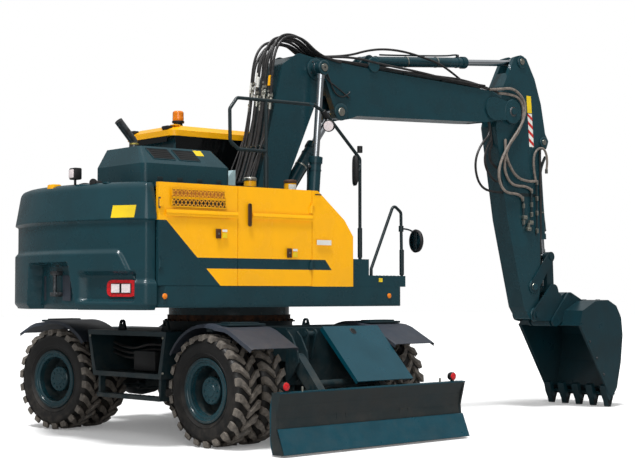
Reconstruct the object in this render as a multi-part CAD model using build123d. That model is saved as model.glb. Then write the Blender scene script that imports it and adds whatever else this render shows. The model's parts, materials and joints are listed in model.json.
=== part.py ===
from build123d import *
import os
from math import atan2, cos, degrees, hypot, radians, sin, sqrt

# A wheeled excavator of the 14-tonne class: twin-tyred undercarriage with a dozer blade,
# slewing upper structure, two-piece boom, arm, quick coupler and bucket.
# Millimetres. While building, the slew axis stands at X = Y = 0 and the ground is Z = 0.
# The upper structure faces +X and its cab is on the +Y side.
# The undercarriage is drawn facing its own +X, the blade end, and is then turned by SLEW_REST.

# ---------------------------------------------------------------- driving dimensions
SLEW_REST = -85.5        # undercarriage heading below the upper structure, degrees
STEER_REST = 8.0         # how far the steered wheels are turned where it parks, degrees

BLADE_AXLE_X = 1091.0    # fixed axle, beside the blade
STEER_AXLE_X = -1506.0   # steered axle
BRACKET_X = 1400.0       # end of the chassis beam, where the blade bracket is bolted
TYRE_R = 527.0
TYRE_W = 275.0
BEAD_R = 262.0
RIM_FLANGE_R = 300.0
OUTER_TYRE_Y = 1107.5
INNER_TYRE_Y = 787.5
HUB_R = 130.0
KINGPIN_Y = 580.0
STEER_ARM = 215.0        # steering arm and rod, behind the kingpins
STEER_ROD_R = 22.0
STEER_ROD_DROP = -100.0
SPINDLE_R = 55.0
AXLE_R = 105.0

PIN_R = 40.0             # main pins of boom, arm and bucket
SMALL_PIN_R = 28.0       # pins of the cylinders' feet and of the blade linkage
FIT = 0.05               # radial running clearance on pins, rods and spindles
SEAT = 0.3               # between pieces that rest on each other
GAP = 5.0                # side clearance between parts that swing past each other

SLEW_RING_R = 640.0
SLEW_RING_LOW_Z = 1150.0
SLEW_RING_H = 60.0

DECK_LOW_Z = 1300.0
DECK_TOP_Z = 1497.0
HALF_W = 1245.0          # half the width of upper structure, blade and tyres
DECK_FRONT_X = 1360.0
PANEL_REAR_X = -1690.0
PANEL_TOP_Z = 2440.0
COVER_Z = 2450.0         # flat top of counterweight and engine covers
PANEL_FRONT_X = 634.0
REAR_SEAM_X, FRONT_SEAM_X = -802.0, 100.0
PANEL_T = 40.0
TAIL_R = 2190.0          # tail swing radius of the counterweight
SEAM = 6.0               # gap between neighbouring panels

BOOM_Y = -50.0           # centre plane of boom, arm and bucket
BOOM_FOOT = (150.0, 1900.0)
KNUCKLE = (970.0, 3850.0)
LIFT_FOOT = (780.0, 1470.0)
LIFT_Y = 285.0           # lift cylinders stand this far each side of the boom
ADJUST_FOOT = (440.0, 2150.0)
ADJUST_EYE = (1360.0, 3420.0)
ARM_CYL_FOOT = (1840.0, 4045.0)
NOSE = (4110.0, 3645.0)
ARM_CYL_EYE = (4305.0, 4280.0)
BUCKET_CYL_FOOT = (4700.0, 3310.0)
ROCKER_TOP = (4815.0, 1885.0)
ROCKER_FOOT = (4505.0, 1510.0)
ARM_TIP = (4525.0, 1165.0)
LINK_EYE = (4830.0, 1465.0)
COUPLER_LOW = (4825.0, 1080.0)
COUPLER_HIGH = (5095.0, 1380.0)
LIFT_EYE_W = 95.0
ADJUST_BARREL_R = 65.0
BASE_HALF_W = 180.0     # lower boom, outside its cheeks
BOOM_HALF_W = 150.0
NOSE_HALF_W = 190.0
NOSE_SLOT_R = 600.0      # the arm's head turns inside this round slot
ARM_HALF_W = 125.0
BUCKET_HALF_W = 500.0

BLADE_HALF_W = 1245.0
BLADE_ARM_TOP = (1500.0, 800.0)
BLADE_ARM_LOW = (1985.0, 270.0)
COVER_TOP = (1475.0, 1045.0)       # cover plate's pins, parallel to the arms so the blade stays upright
COVER_LOW = (1960.0, 515.0)
COVER_HALF_W = 460.0
BLADE_ARM_Y = 420.0
BLADE_ARM_HALF = 45.0
BLADE_CYL_FOOT = (1345.0, 470.0)
BLADE_TRAVEL = 216.0
BLADE_CYL_ALONG = 560.0            # the rod's pin, along the blade arm from its top pin
BLADE_CYL_Y = 325.0

CAB_REAR_X, CAB_FRONT_X = -500.0, 1250.0
CAB_IN_Y, CAB_OUT_Y = 340.0, 1240.0
CAB_LOW_Z, CAB_ROOF_Z = DECK_TOP_Z + SEAT, 3080.0
CAB_WALL = 60.0
GLASS_T = 8.0
SEAL = 0.3               # panes sit this far inside their openings
HINGE_R = 9.0
HINGE_OUT = 12.0         # hinge axes stand this far outside their wall
HINGE_PIN_R = 5.0
HINGE_LEN = 70.0
CAB_HINGES = (1700.0, 2250.0, 2800.0)
PANEL_HINGES = (1700.0, 2250.0)

BODIES = {}


def add(body, node, shape):
    """Keep one named piece and the moving body that it belongs to."""
    BODIES.setdefault(body, {})[node] = shape


# ---------------------------------------------------------------- small shared shapes
def box(x0, x1, y0, y1, z0, z1):
    return Pos((x0 + x1) / 2, (y0 + y1) / 2, (z0 + z1) / 2) * Box(x1 - x0, y1 - y0, z1 - z0)


def side_plane(y):
    return Plane(origin=(0, y, 0), x_dir=(1, 0, 0), z_dir=(0, -1, 0))


def outline(points, radius=0.0):
    """A flat outline; radius rounds all its corners."""
    if radius:
        return make_face(FilletPolyline(*points, radius=radius, close=True))
    return make_face(Polyline(*points, close=True))


def slab(flat, y_lo, y_hi):
    """Extrude an X-Z outline between two Y positions."""
    return extrude(side_plane(y_hi) * flat, y_hi - y_lo)


def both_sides(flat, centre, y_in, y_out):
    """The same slab on each side of a centre plane."""
    return slab(flat, centre + y_in, centre + y_out) + slab(flat, centre - y_out, centre - y_in)


def cross_pin(p, r, y_lo, y_hi):
    return Pos(p[0], (y_lo + y_hi) / 2, p[1]) * Rot(90, 0, 0) * Cylinder(r, y_hi - y_lo)


def disc(p, r):
    return Pos(p[0], p[1]) * Circle(r)


def strap(p, q, rp, rq):
    """A tapered outline with round ends about two pins."""
    return make_hull(disc(p, rp).edges() + disc(q, rq).edges())


def unit(p, q):
    length = hypot(q[0] - p[0], q[1] - p[1])
    return (q[0] - p[0]) / length, (q[1] - p[1]) / length


def along(p, q, distance):
    u = unit(p, q)
    return p[0] + u[0] * distance, p[1] + u[1] * distance


def bar(p, q, r, y):
    """A round bar in a side plane."""
    length = hypot(q[0] - p[0], q[1] - p[1])
    plane = Plane(origin=(p[0], y, p[1]), z_dir=(q[0] - p[0], 0, q[1] - p[1]))
    return plane * Cylinder(r, length, align=(Align.CENTER, Align.CENTER, Align.MIN))


def pipe(points, r, bend):
    path = FilletPolyline(*points, radius=bend)
    return sweep(Plane(origin=path @ 0, z_dir=path % 0) * Circle(r), path=path)


def fused(shapes):
    whole = shapes[0]
    for shape in shapes[1:]:
        whole += shape
    return whole


def mirror_y(shape):
    return mirror(shape, about=Plane.XZ)


def hydraulic(foot, eye, y, barrel_r, rod_r, barrel_len, eye_r, eye_w, pin_r, travel):
    """Barrel and rod of one cylinder. The barrel's foot turns on a pin; the rod's eye is closed.

    travel is how far the rod can still come out before its piston meets the gland.
    """
    wall = 9.0
    head = along(foot, eye, barrel_len)
    inside = along(foot, eye, eye_r + 12)
    gland = along(foot, eye, barrel_len - 70)
    barrel = bar(along(foot, eye, eye_r * 0.6), head, barrel_r, y)
    barrel += bar(gland, head, barrel_r + 10, y)
    barrel += cross_pin(foot, eye_r, y - eye_w / 2, y + eye_w / 2)
    barrel -= bar(inside, gland, barrel_r - wall, y)
    barrel -= bar(gland, along(foot, eye, barrel_len + 1), rod_r + FIT, y)
    barrel -= cross_pin(foot, pin_r + FIT, y - eye_w, y + eye_w)
    reach = hypot(eye[0] - foot[0], eye[1] - foot[1])
    piston = barrel_len - 115 - travel
    start = along(foot, eye, piston)
    rod = bar(start, eye, rod_r, y)
    rod += bar(start, along(foot, eye, piston + 40), barrel_r - wall - FIT, y)
    rod += bar(along(foot, eye, reach - eye_r - 45), eye, rod_r * 1.2, y)
    rod += cross_pin(eye, eye_r, y - eye_w / 2, y + eye_w / 2)
    return barrel, rod


# ---------------------------------------------------------------- undercarriage
def chassis_frame():
    frame = box(-1180, 980, -420, 420, 760, 1060)
    frame += box(-2050, -1180, -280, 280, 830, 1050)
    frame += box(980, BRACKET_X, -400, 400, 780, 1100)
    frame += Pos(0, 0, 1060) * Cylinder(SLEW_RING_R + 20, SLEW_RING_LOW_Z - 1060,
                                        align=(Align.CENTER, Align.CENTER, Align.MIN))
    for side in (-1, 1):
        rib = outline([(-620, 1060), (620, 1060), (520, 1130), (-520, 1130)])
        frame += slab(rib, side * 300 - 10, side * 300 + 10)
    # hollow between top and bottom plates, open on the underside
    frame -= box(-1100, 940, -395, 395, 740, 1030)
    frame += box(-640, -610, -395, 395, 760, 1030)
    frame += box(610, 640, -395, 395, 760, 1030)
    return frame


def slew_ring():
    return Pos(0, 0, SLEW_RING_LOW_Z) * (
        Cylinder(SLEW_RING_R, SLEW_RING_H, align=(Align.CENTER, Align.CENTER, Align.MIN))
        - Cylinder(SLEW_RING_R - 110, SLEW_RING_H, align=(Align.CENTER, Align.CENTER, Align.MIN)))


def axle_housing(half_len):
    """Banjo axle: a round differential case with tapering arms."""
    profile = outline([(0, -half_len), (AXLE_R - 15, -half_len), (AXLE_R + 5, -260), (205, -150),
                       (225, 0), (205, 150), (AXLE_R + 5, 260), (AXLE_R - 15, half_len), (0, half_len)])
    return revolve(profile, Axis.Y)


def fixed_axle():
    housing = Pos(BLADE_AXLE_X, 0, TYRE_R) * axle_housing(INNER_TYRE_Y - TYRE_W / 2 - 45)
    for side in (-1, 1):
        housing += box(BLADE_AXLE_X - 100, BLADE_AXLE_X + 100, side * 340 - 60, side * 340 + 60,
                       TYRE_R, 779.5)
        housing += Pos(BLADE_AXLE_X, side * (INNER_TYRE_Y - 90), TYRE_R) * Rot(90, 0, 0) * Cylinder(
            SPINDLE_R, 200)
    return housing


def steer_axle():
    housing = Pos(STEER_AXLE_X, 0, TYRE_R) * axle_housing(KINGPIN_Y - 90)
    # oscillation saddle under the frame's nose
    housing += box(STEER_AXLE_X - 110, STEER_AXLE_X + 110, -150, 150, TYRE_R + 150, 829.5)
    for side in (-1, 1):
        y = side * KINGPIN_Y
        neck = sorted((y - side * 140, y - side * 72))
        housing += box(STEER_AXLE_X - 60, STEER_AXLE_X + 60, *neck, TYRE_R - 160, TYRE_R + 160)
        reach = sorted((y - side * 72, y))
        for z in (TYRE_R - 160, TYRE_R + 120):
            lug = box(STEER_AXLE_X - 60, STEER_AXLE_X + 60, *reach, z, z + 40)
            lug += Pos(STEER_AXLE_X, y, z + 20) * Cylinder(60, 40)
            housing += lug
        housing -= Pos(STEER_AXLE_X, y, TYRE_R) * Cylinder(SMALL_PIN_R + FIT, 400)
    # double-ended steering cylinder behind the beam
    x, z = STEER_AXLE_X + STEER_ARM, TYRE_R + STEER_ROD_DROP
    housing += cross_pin((x, z), 48, -210, 210)
    housing += box(STEER_AXLE_X + 60, x, -60, 60, z - 30, z + 30)
    housing -= cross_pin((x, z), STEER_ROD_R + FIT, -300, 300)
    return housing


def steering_rod():
    x, z = STEER_AXLE_X + STEER_ARM, TYRE_R + STEER_ROD_DROP
    end = KINGPIN_Y - 75
    rod = cross_pin((x, z), STEER_ROD_R, -end, end)
    for side in (-1, 1):
        rod += Pos(x, side * end, z) * Sphere(32)
    return rod


def knuckle(side):
    """Steering knuckle with kingpins, spindle, arm and the mudguard that turns with the wheels."""
    y = side * KINGPIN_Y
    body = box(STEER_AXLE_X - 50, STEER_AXLE_X + 50, y - 45, y + 45, TYRE_R - 114, TYRE_R + 114)
    body += Pos(STEER_AXLE_X, y, TYRE_R) * Cylinder(SMALL_PIN_R, 320)
    spindle = sorted((y, side * (INNER_TYRE_Y + 10)))
    body += cross_pin((STEER_AXLE_X, TYRE_R), SPINDLE_R, *spindle)
    body += box(STEER_AXLE_X, STEER_AXLE_X + STEER_ARM, y - 22, y + 22, TYRE_R - 112, TYRE_R - 88)
    # stay that carries the mudguard
    post_x = STEER_AXLE_X - 118
    body += box(post_x - 16, STEER_AXLE_X - 40, y - 18, y + 18, TYRE_R - 40, TYRE_R + 40)
    body += box(post_x - 16, post_x + 16, y - 18, y + 18, TYRE_R - 40, 1150)
    span = sorted((y - side * 18, side * (HALF_W - 70)))
    body += box(post_x - 16, post_x + 16, *span, 1110, 1178)
    body += mudguard(STEER_AXLE_X, -1, *sorted((side * 660, side * (HALF_W - 5))))
    return body


def mudguard(axle_x, outward, y0, y1):
    """Faceted plate guard over one pair of tyres; outward is the side away from the machine's middle."""
    t = 6.0
    pts = [(400, 1020), (250, 1165), (-420, 1190), (-700, 950)]
    pts = [(axle_x + (-outward) * p[0], p[1]) for p in pts]
    skin = outline(pts + [(p[0], p[1] - t * 1.4) for p in reversed(pts)])
    return slab(skin, y0, y1)


def blade_end_mudguards():
    """Guards over the fixed axle's tyres, each on a bearer that crosses the chassis beam."""
    guards = box(BLADE_AXLE_X - 40, BLADE_AXLE_X + 40, -(HALF_W - 70), HALF_W - 70, 1100, 1172)
    for side in (-1, 1):
        guards += mudguard(BLADE_AXLE_X, 1, *sorted((side * 660, side * (HALF_W - 5))))
    return guards


def wheel_parts(side):
    """Twin wheel drawn about its own axle: joined rims with the hub, and two tyres."""
    inner, outer = INNER_TYRE_Y, OUTER_TYRE_Y
    half = TYRE_W / 2
    lip = 16.0
    rim_half = half - 22
    y_in, y_out = inner - rim_half, outer + rim_half
    shell = [(RIM_FLANGE_R, y_in), (RIM_FLANGE_R, y_in + lip), (BEAD_R - 12, y_in + lip + 8),
             (BEAD_R - 12, inner + rim_half), (BEAD_R - 12, outer - rim_half),
             (BEAD_R - 12, y_out - lip - 8), (RIM_FLANGE_R, y_out - lip), (RIM_FLANGE_R, y_out),
             (RIM_FLANGE_R - 14, y_out), (BEAD_R - 30, y_out - lip - 20),
             (BEAD_R - 30, outer - 95), (HUB_R, outer - 95), (HUB_R, outer + 25), (HUB_R - 20, outer + 40),
             (0, outer + 40), (0, inner + 30), (SPINDLE_R + FIT, inner + 30), (SPINDLE_R + FIT, y_in - 25),
             (150, y_in - 25), (150, inner + 30), (175, outer - 125), (BEAD_R - 30, outer - 125),
             (BEAD_R - 30, y_in + lip + 12), (RIM_FLANGE_R - 14, y_in)]
    rims = revolve(outline([(r, side * y) for r, y in shell]), Axis.Y)
    tyres = None
    for centre in (inner, outer):
        low, high = centre - rim_half, centre + rim_half
        flat = [(BEAD_R - 11.7, low + lip + 9), (BEAD_R - 11.7, high - lip - 9),
                (RIM_FLANGE_R + 0.3, high - lip), (RIM_FLANGE_R + 12, high - 2),
                (RIM_FLANGE_R + 30, centre + half - 8), (TYRE_R - 95, centre + half),
                (TYRE_R - 26, centre + half - 12), (TYRE_R, centre + half - 45),
                (TYRE_R, centre - half + 45), (TYRE_R - 26, centre - half + 12),
                (TYRE_R - 95, centre - half), (RIM_FLANGE_R + 30, centre - half + 8),
                (RIM_FLANGE_R + 12, low + 2), (RIM_FLANGE_R + 0.3, low + lip)]
        ring = revolve(outline([(r, side * y) for r, y in flat]), Axis.Y)
        tyres = ring if tyres is None else tyres + ring
    return rims, tyres


def drive_line():
    """Transfer gearbox under the chassis and the shafts to both axles."""
    case = box(-1120, -640, -230, 230, 430, 755)
    case += box(-960, -800, -395 + SEAT, 395 - SEAT, 745, 800)      # hung between the frame's sides
    case += Pos(-880, 0, 470) * Rot(90, 0, 0) * Cylinder(75, 420)
    case += Pos(-600, 0, TYRE_R) * Rot(0, 90, 0) * Cylinder(110, 120)
    for x0, x1 in ((STEER_AXLE_X + 226, -1110), (-550, BLADE_AXLE_X - 226)):
        case += Pos((x0 + x1) / 2, 0, TYRE_R) * Rot(0, 90, 0) * Cylinder(38, x1 - x0)
    return case


def tool_bay(side):
    """Open tool tray between the wheels with a hanging step under it."""
    y_in, y_out = 420.0, 1200.0
    shape = outline([(-820, 1060), (480, 1060), (400, 600), (-720, 600)])
    bay = slab(shape, y_in, y_out)
    mouth = outline([(-770, 1012), (430, 1012), (356, 648), (-676, 648)])
    bay -= slab(mouth, y_in + 40, y_out + 5)
    for x in (-650.0, 350.0):
        bay += box(x - 18, x + 18, y_out - 90, y_out - 30, 400, 602)
    bay += box(-668, 368, y_out - 130, y_out - 10, 385, 425)
    for x in (-560.0, 160.0):
        ear = slab(strap((x, 1055), (x, 1125), 60, 38), y_out - 260, y_out - 235)
        ear -= cross_pin((x, 1125), 20, y_out - 270, y_out - 225)
        bay += ear
    return bay if side > 0 else mirror_y(bay)


def blade_bracket():
    """Cheek plates on the chassis end that carry the blade's arms, cover plate and cylinders."""
    x0 = BRACKET_X
    arm_cheek = outline([(x0, 560), (1520, 700), (1575, 780), (1560, 880), (1480, 1020), (x0, 1095)])
    top_cheek = make_hull(disc(COVER_TOP, 48).edges() + disc((x0 + 30, 1060), 30).edges()
                          + disc((x0 + 30, 830), 30).edges())
    bracket = box(x0, x0 + 25, -490, 490, 560, 1090)
    for s in (-1, 1):
        bracket += both_sides(arm_cheek, s * BLADE_ARM_Y, BLADE_ARM_HALF + GAP, BLADE_ARM_HALF + GAP + 18)
        bracket += cross_pin(BLADE_ARM_TOP, SMALL_PIN_R, s * BLADE_ARM_Y - 70, s * BLADE_ARM_Y + 70)
        bracket += both_sides(top_cheek, s * 250, 45, 63)
        bracket += cross_pin(COVER_TOP, SMALL_PIN_R, s * 250 - 70, s * 250 + 70)
        hanger = outline([(BLADE_CYL_FOOT[0] - 35, BLADE_CYL_FOOT[1] - 40), (BLADE_CYL_FOOT[0] + 35,
                          BLADE_CYL_FOOT[1] - 40), (x0 + 10, 620), (x0 + 10, 780), (1310, 780)])
        bracket += both_sides(hanger, s * BLADE_CYL_Y, 45, 60)
        bracket += cross_pin(BLADE_CYL_FOOT, SMALL_PIN_R, s * BLADE_CYL_Y - 64, s * BLADE_CYL_Y + 64)
    return bracket


def blade_cylinder_eye():
    return along(BLADE_ARM_TOP, BLADE_ARM_LOW, BLADE_CYL_ALONG)


# ---------------------------------------------------------------- upper structure
def upper_frame():
    rear_x = PANEL_REAR_X - SEAM + SEAT
    corner = outline([(rear_x, -HALF_W + 90), (rear_x + 90, -HALF_W), (DECK_FRONT_X - 90, -HALF_W),
                      (DECK_FRONT_X, -HALF_W + 90), (DECK_FRONT_X, HALF_W - 90), (DECK_FRONT_X - 90, HALF_W),
                      (rear_x + 90, HALF_W), (rear_x, HALF_W - 90)])
    deck = Pos(0, 0, DECK_LOW_Z) * extrude(corner, DECK_TOP_Z - DECK_LOW_Z)
    slot = LIFT_Y + 75
    deck -= box(660, DECK_FRONT_X + 10, BOOM_Y - slot, BOOM_Y + slot, DECK_LOW_Z - 5, DECK_TOP_Z + 5)
    ring_top = SLEW_RING_LOW_Z + SLEW_RING_H + SEAT
    deck += Pos(0, 0, ring_top) * Cylinder(
        SLEW_RING_R - 15, DECK_LOW_Z - ring_top + 2, align=(Align.CENTER, Align.CENTER, Align.MIN))
    web = outline([(-800, DECK_TOP_Z - 5), (900, 1330), (930, 1500), (860, 1560), (560, 1600),
                   (330, 1880), (250, 1990), (150, 2030), (40, 1980), (-120, 1800), (-800, 1600)])
    inner = BASE_HALF_W + GAP
    deck += both_sides(web, BOOM_Y, inner, inner + 24)
    for s in (-1, 1):
        outer = sorted((BOOM_Y + s * inner, BOOM_Y + s * (LIFT_Y + 55)))
        deck += cross_pin(LIFT_FOOT, PIN_R, *outer)
    deck += cross_pin(BOOM_FOOT, PIN_R, BOOM_Y - inner - 30, BOOM_Y + inner + 30)
    return deck


def counterweight():
    edge = sqrt(TAIL_R ** 2 - (HALF_W - 30) ** 2)
    plan = Polyline((PANEL_REAR_X - SEAM, -HALF_W), (PANEL_REAR_X - SEAM, HALF_W), (-edge + 20, HALF_W),
                    (-edge, HALF_W - 30))
    arc = ThreePointArc((-edge, HALF_W - 30), (-TAIL_R, 0), (-edge, -HALF_W + 30))
    front = Polyline((-edge, -HALF_W + 30), (-edge + 20, -HALF_W), (PANEL_REAR_X - SEAM, -HALF_W))
    weight = extrude(make_face(plan + arc + front), COVER_Z - 1275)
    weight = Pos(0, 0, 1275) * weight
    # the outer top corner on the cab side is cut away
    weight -= extrude(Plane.YZ * make_face(Polyline((980, 2460), (1300, 2460), (1300, 2330), close=True)),
                      3000, both=True)
    return weight


def engine():
    return box(-1560, -840, -700, 500, DECK_TOP_Z + 0.3, 2300)


def engine_hood():
    base = outline([(-1760, -1100), (-780, -1100), (-780, -250), (-1760, -250)], 60)
    top = outline([(-1700, -940), (-880, -940), (-880, -330), (-1700, -330)], 50)
    z = COVER_Z + 0.3
    hood = loft([Pos(0, 0, z) * base, Pos(0, 0, COVER_Z + 170) * base, Pos(0, 0, 2790) * top], ruled=True)
    hollow_base = outline([(-1740, -1080), (-800, -1080), (-800, -270), (-1740, -270)], 40)
    hollow_top = outline([(-1680, -920), (-900, -920), (-900, -350), (-1680, -350)], 30)
    hood -= loft([Pos(0, 0, z - 5) * hollow_base, Pos(0, 0, COVER_Z + 165) * hollow_base,
                  Pos(0, 0, 2770) * hollow_top], ruled=True)
    return hood


def rear_deck():
    """Flat covers over the engine bay, behind the cab and beside the hood."""
    deck = box(PANEL_REAR_X, -510, -HALF_W + PANEL_T + 5, HALF_W - PANEL_T - 5, 2400, COVER_Z)
    return deck


def side_wall_profile(x0, x1):
    whole = outline([(PANEL_REAR_X, DECK_TOP_Z + 4), (PANEL_FRONT_X, DECK_TOP_Z + 4), (PANEL_FRONT_X, 2000),
                     (520, 2160), (175, PANEL_TOP_Z), (PANEL_REAR_X, PANEL_TOP_Z)])
    return whole & outline([(x0, 1400), (x1, 1400), (x1, 2500), (x0, 2500)])


def side_panel(x0, x1, side, hinge_x=None):
    """One panel of the side wall: a door where it has a hinge, otherwise fixed to the deck."""
    skin = slab(side_wall_profile(x0, x1), HALF_W - PANEL_T, HALF_W)
    if hinge_x is None:
        skin += box(x0, x1, HALF_W - PANEL_T, HALF_W, DECK_TOP_Z + SEAT, DECK_TOP_Z + 10)
    else:
        leaf = 30 if hinge_x < (x0 + x1) / 2 else -30
        skin += hinge_barrels(hinge_x, HALF_W + HINGE_OUT, PANEL_HINGES, leaf)
    return skin if side > 0 else mirror_y(skin)


def tank_block():
    """Fuel and oil tanks that fill the right side between the pump bay and the step."""
    flat = outline([(-500, DECK_TOP_Z + 0.3), (615, DECK_TOP_Z + 0.3), (615, 1990), (500, 2140), (160, 2425), (-500, 2425)])
    tank = slab(flat, -HALF_W + PANEL_T + GAP, -430)
    for x in (-440.0, 60.0):
        tank += Pos(x, -950, 2425) * Cylinder(58, 130, align=(
            Align.CENTER, Align.CENTER, Align.MIN))
    return tank


def front_steps():
    """Tool box and stepped platform ahead of the tanks."""
    steps = box(PANEL_FRONT_X + 8, 850, -HALF_W + 5, -430, DECK_TOP_Z + 0.3, 1775)
    steps += box(850, DECK_FRONT_X - 5, -HALF_W + 5, -430, DECK_TOP_Z + 0.3, 1610)
    return steps


def hand_rails():
    y = -1170.0
    high = pipe([(790, y, 1775.3), (790, y, 2800), (330, y, 3235), (180, y, 3300), (-760, y, 3290),
                 (-845, y, 3180), (-840, y, 2870), (-740, y, 2800), (-412, y, 2800)], 17, 45)
    high += Pos(-412, y, 2425.3) * Cylinder(17, 870, align=(Align.CENTER, Align.CENTER, Align.MIN))
    low = pipe([(916, -1200, 1610.3), (916, -1200, 1680), (1225, -1200, 2345), (1330, -1200, 2270), (1340, -1200, 1610.3)], 16, 40)
    return high + low


def fittings():
    """Mirrors on their arms and the flashing beacon."""
    arm = pipe([(1349.6, -1200, 2050), (1400, -1200, 2050), (1436, -1272, 1985)], 9, 12)
    head = Pos(1436, -1290, 1973) * Rot(0, 90, 0) * extrude(Ellipse(128, 100), 30, both=True)
    tall = box(590, 622, -1300, -1130, 2510, 2790)
    tall += Pos(622, -1170, 2650) * Rot(0, 90, 0) * Cylinder(9, 150.7, align=(Align.CENTER, Align.CENTER, Align.MIN))
    top = CAB_ROOF_Z + 115 + 2 * SEAT
    lamp = Pos(-310, 500, top) * Cylinder(14, 80, align=(Align.CENTER, Align.CENTER, Align.MIN))
    lamp += Pos(-310, 500, top + 60) * Cylinder(58, 110, align=(Align.CENTER, Align.CENTER, Align.MIN))
    return arm + head + tall + lamp


# ---------------------------------------------------------------- cab
def cab_profile(inset=0.0):
    """Side outline of the cab: upright rear, raked windscreen."""
    i = inset
    return outline([(CAB_REAR_X + i, CAB_LOW_Z + i), (CAB_FRONT_X - i, CAB_LOW_Z + i),
                    (CAB_FRONT_X - i, 2350), (CAB_FRONT_X - 270 - i * 0.8, CAB_ROOF_Z - i),
                    (CAB_REAR_X + 60 + i, CAB_ROOF_Z - i), (CAB_REAR_X + i, 2300)])


DOOR_X0, DOOR_X1 = -60.0, 900.0
DOOR_Z0, DOOR_Z1 = CAB_LOW_Z + 70, 2990.0


def window(name, inset=0.0):
    """Outline of one cab opening; inset shrinks it for the pane that fills it."""
    i = inset
    top = CAB_ROOF_Z - 110
    corners, round_r = {
        "right": ([(-330 + i, 2150 + i), (1140 - i, 2150 + i), (1140 - i, 2420), (925 - i, top - i),
                   (-330 + i, top - i)], 60),
        "quarter": ([(-400 + i, 2300 + i), (-150 - i, 2300 + i), (-150 - i, 2960 - i), (-400 + i, 2960 - i)], 40),
        "door_low": ([(DOOR_X0 + 75 + i, 1760 + i), (DOOR_X1 - 80 - i, 1760 + i),
                      (DOOR_X1 - 80 - i, 2130 - i), (DOOR_X0 + 75 + i, 2130 - i)], 50),
        "door_high": ([(DOOR_X0 + 75 + i, 2210 + i), (DOOR_X1 - 80 - i, 2210 + i), (DOOR_X1 - 80 - i, 2680),
                       (DOOR_X1 - 130 - i, DOOR_Z1 - 80 - i), (DOOR_X0 + 75 + i, DOOR_Z1 - 80 - i)], 50),
    }[name]
    return outline(corners, round_r - i)


SCREEN_LOW_Z, SCREEN_TOP_Z = 1800.0, CAB_ROOF_Z - 110
REAR_LOW_Z, REAR_TOP_Z = 2320.0, CAB_ROOF_Z - 120


def cab_shell():
    shell = slab(cab_profile(), CAB_IN_Y, CAB_OUT_Y)
    shell -= slab(cab_profile(CAB_WALL), CAB_IN_Y + CAB_WALL, CAB_OUT_Y - CAB_WALL)
    shell -= box(CAB_FRONT_X - 420, CAB_FRONT_X + 50, CAB_IN_Y + 90, CAB_OUT_Y - 90, SCREEN_LOW_Z, SCREEN_TOP_Z)
    shell -= box(CAB_REAR_X - 20, CAB_REAR_X + 130, CAB_IN_Y + 110, CAB_OUT_Y - 110, REAR_LOW_Z, REAR_TOP_Z)
    shell -= slab(window("right"), CAB_IN_Y - 10, CAB_IN_Y + CAB_WALL + 10)
    shell -= slab(door_outline(-SEAM), CAB_OUT_Y - CAB_WALL - 10, CAB_OUT_Y + 10)
    shell -= slab(window("quarter"), CAB_OUT_Y - CAB_WALL - 10, CAB_OUT_Y + 10)
    return shell


def door_outline(inset=0.0):
    i = inset
    return outline([(DOOR_X0 + i, DOOR_Z0 + i), (DOOR_X1 - i, DOOR_Z0 + i), (DOOR_X1 - i, 2700 - i * 0.5),
                    (DOOR_X1 - 60 - i, DOOR_Z1 - i), (DOOR_X0 + i, DOOR_Z1 - i)], 40)


def hinge_barrels(x, y, levels, leaf):
    """The moving half of a hinge on a vertical axis: bored barrels on leaves that reach the door's skin."""
    barrels = []
    for z in levels:
        x0, x1 = sorted((x, x + leaf))
        plate = box(x0, x1, y - HINGE_OUT - 1, y + 4, z - HINGE_LEN / 2, z + HINGE_LEN / 2)
        barrels.append(plate + Pos(x, y, z) * Cylinder(HINGE_R, HINGE_LEN)
                       - Pos(x, y, z) * Cylinder(HINGE_PIN_R + FIT, HINGE_LEN))
    return fused(barrels)


def hinge_pins(x, y, levels, wall_x, wall_y):
    """The fixed half: a knuckle and pin over each barrel, on a leaf that reaches the wall beside the door."""
    knuckles = []
    for z in levels:
        top = z + HINGE_LEN / 2 + SEAT
        pin = Pos(x, y, z - HINGE_LEN / 2) * Cylinder(HINGE_PIN_R, HINGE_LEN + 20,
                                                      align=(Align.CENTER, Align.CENTER, Align.MIN))
        pin += Pos(x, y, top) * Cylinder(HINGE_R, 30, align=(Align.CENTER, Align.CENTER, Align.MIN))
        x0, x1 = sorted((x, wall_x))
        pin += box(x0, x1, y - 4, y + 4, top, top + 30)
        w0, w1 = sorted((wall_x, wall_x + (8 if wall_x > x else -8)))
        pin += box(w0, w1, wall_y - 1, y + 4, top, top + 30)
        knuckles.append(pin)
    return fused(knuckles)


def cab_door():
    door = slab(door_outline(), CAB_OUT_Y - CAB_WALL, CAB_OUT_Y)
    for name in ("door_low", "door_high"):
        door -= slab(window(name), CAB_OUT_Y - CAB_WALL - 5, CAB_OUT_Y + 5)
    return door + hinge_barrels(DOOR_X0 + HINGE_R, CAB_OUT_Y + HINGE_OUT, CAB_HINGES, 30)


def door_glass():
    y = CAB_OUT_Y - CAB_WALL / 2
    panes = slab(window("door_low", SEAL), y - GLASS_T / 2, y + GLASS_T / 2)
    return panes + slab(window("door_high", SEAL), y - GLASS_T / 2, y + GLASS_T / 2)


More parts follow.
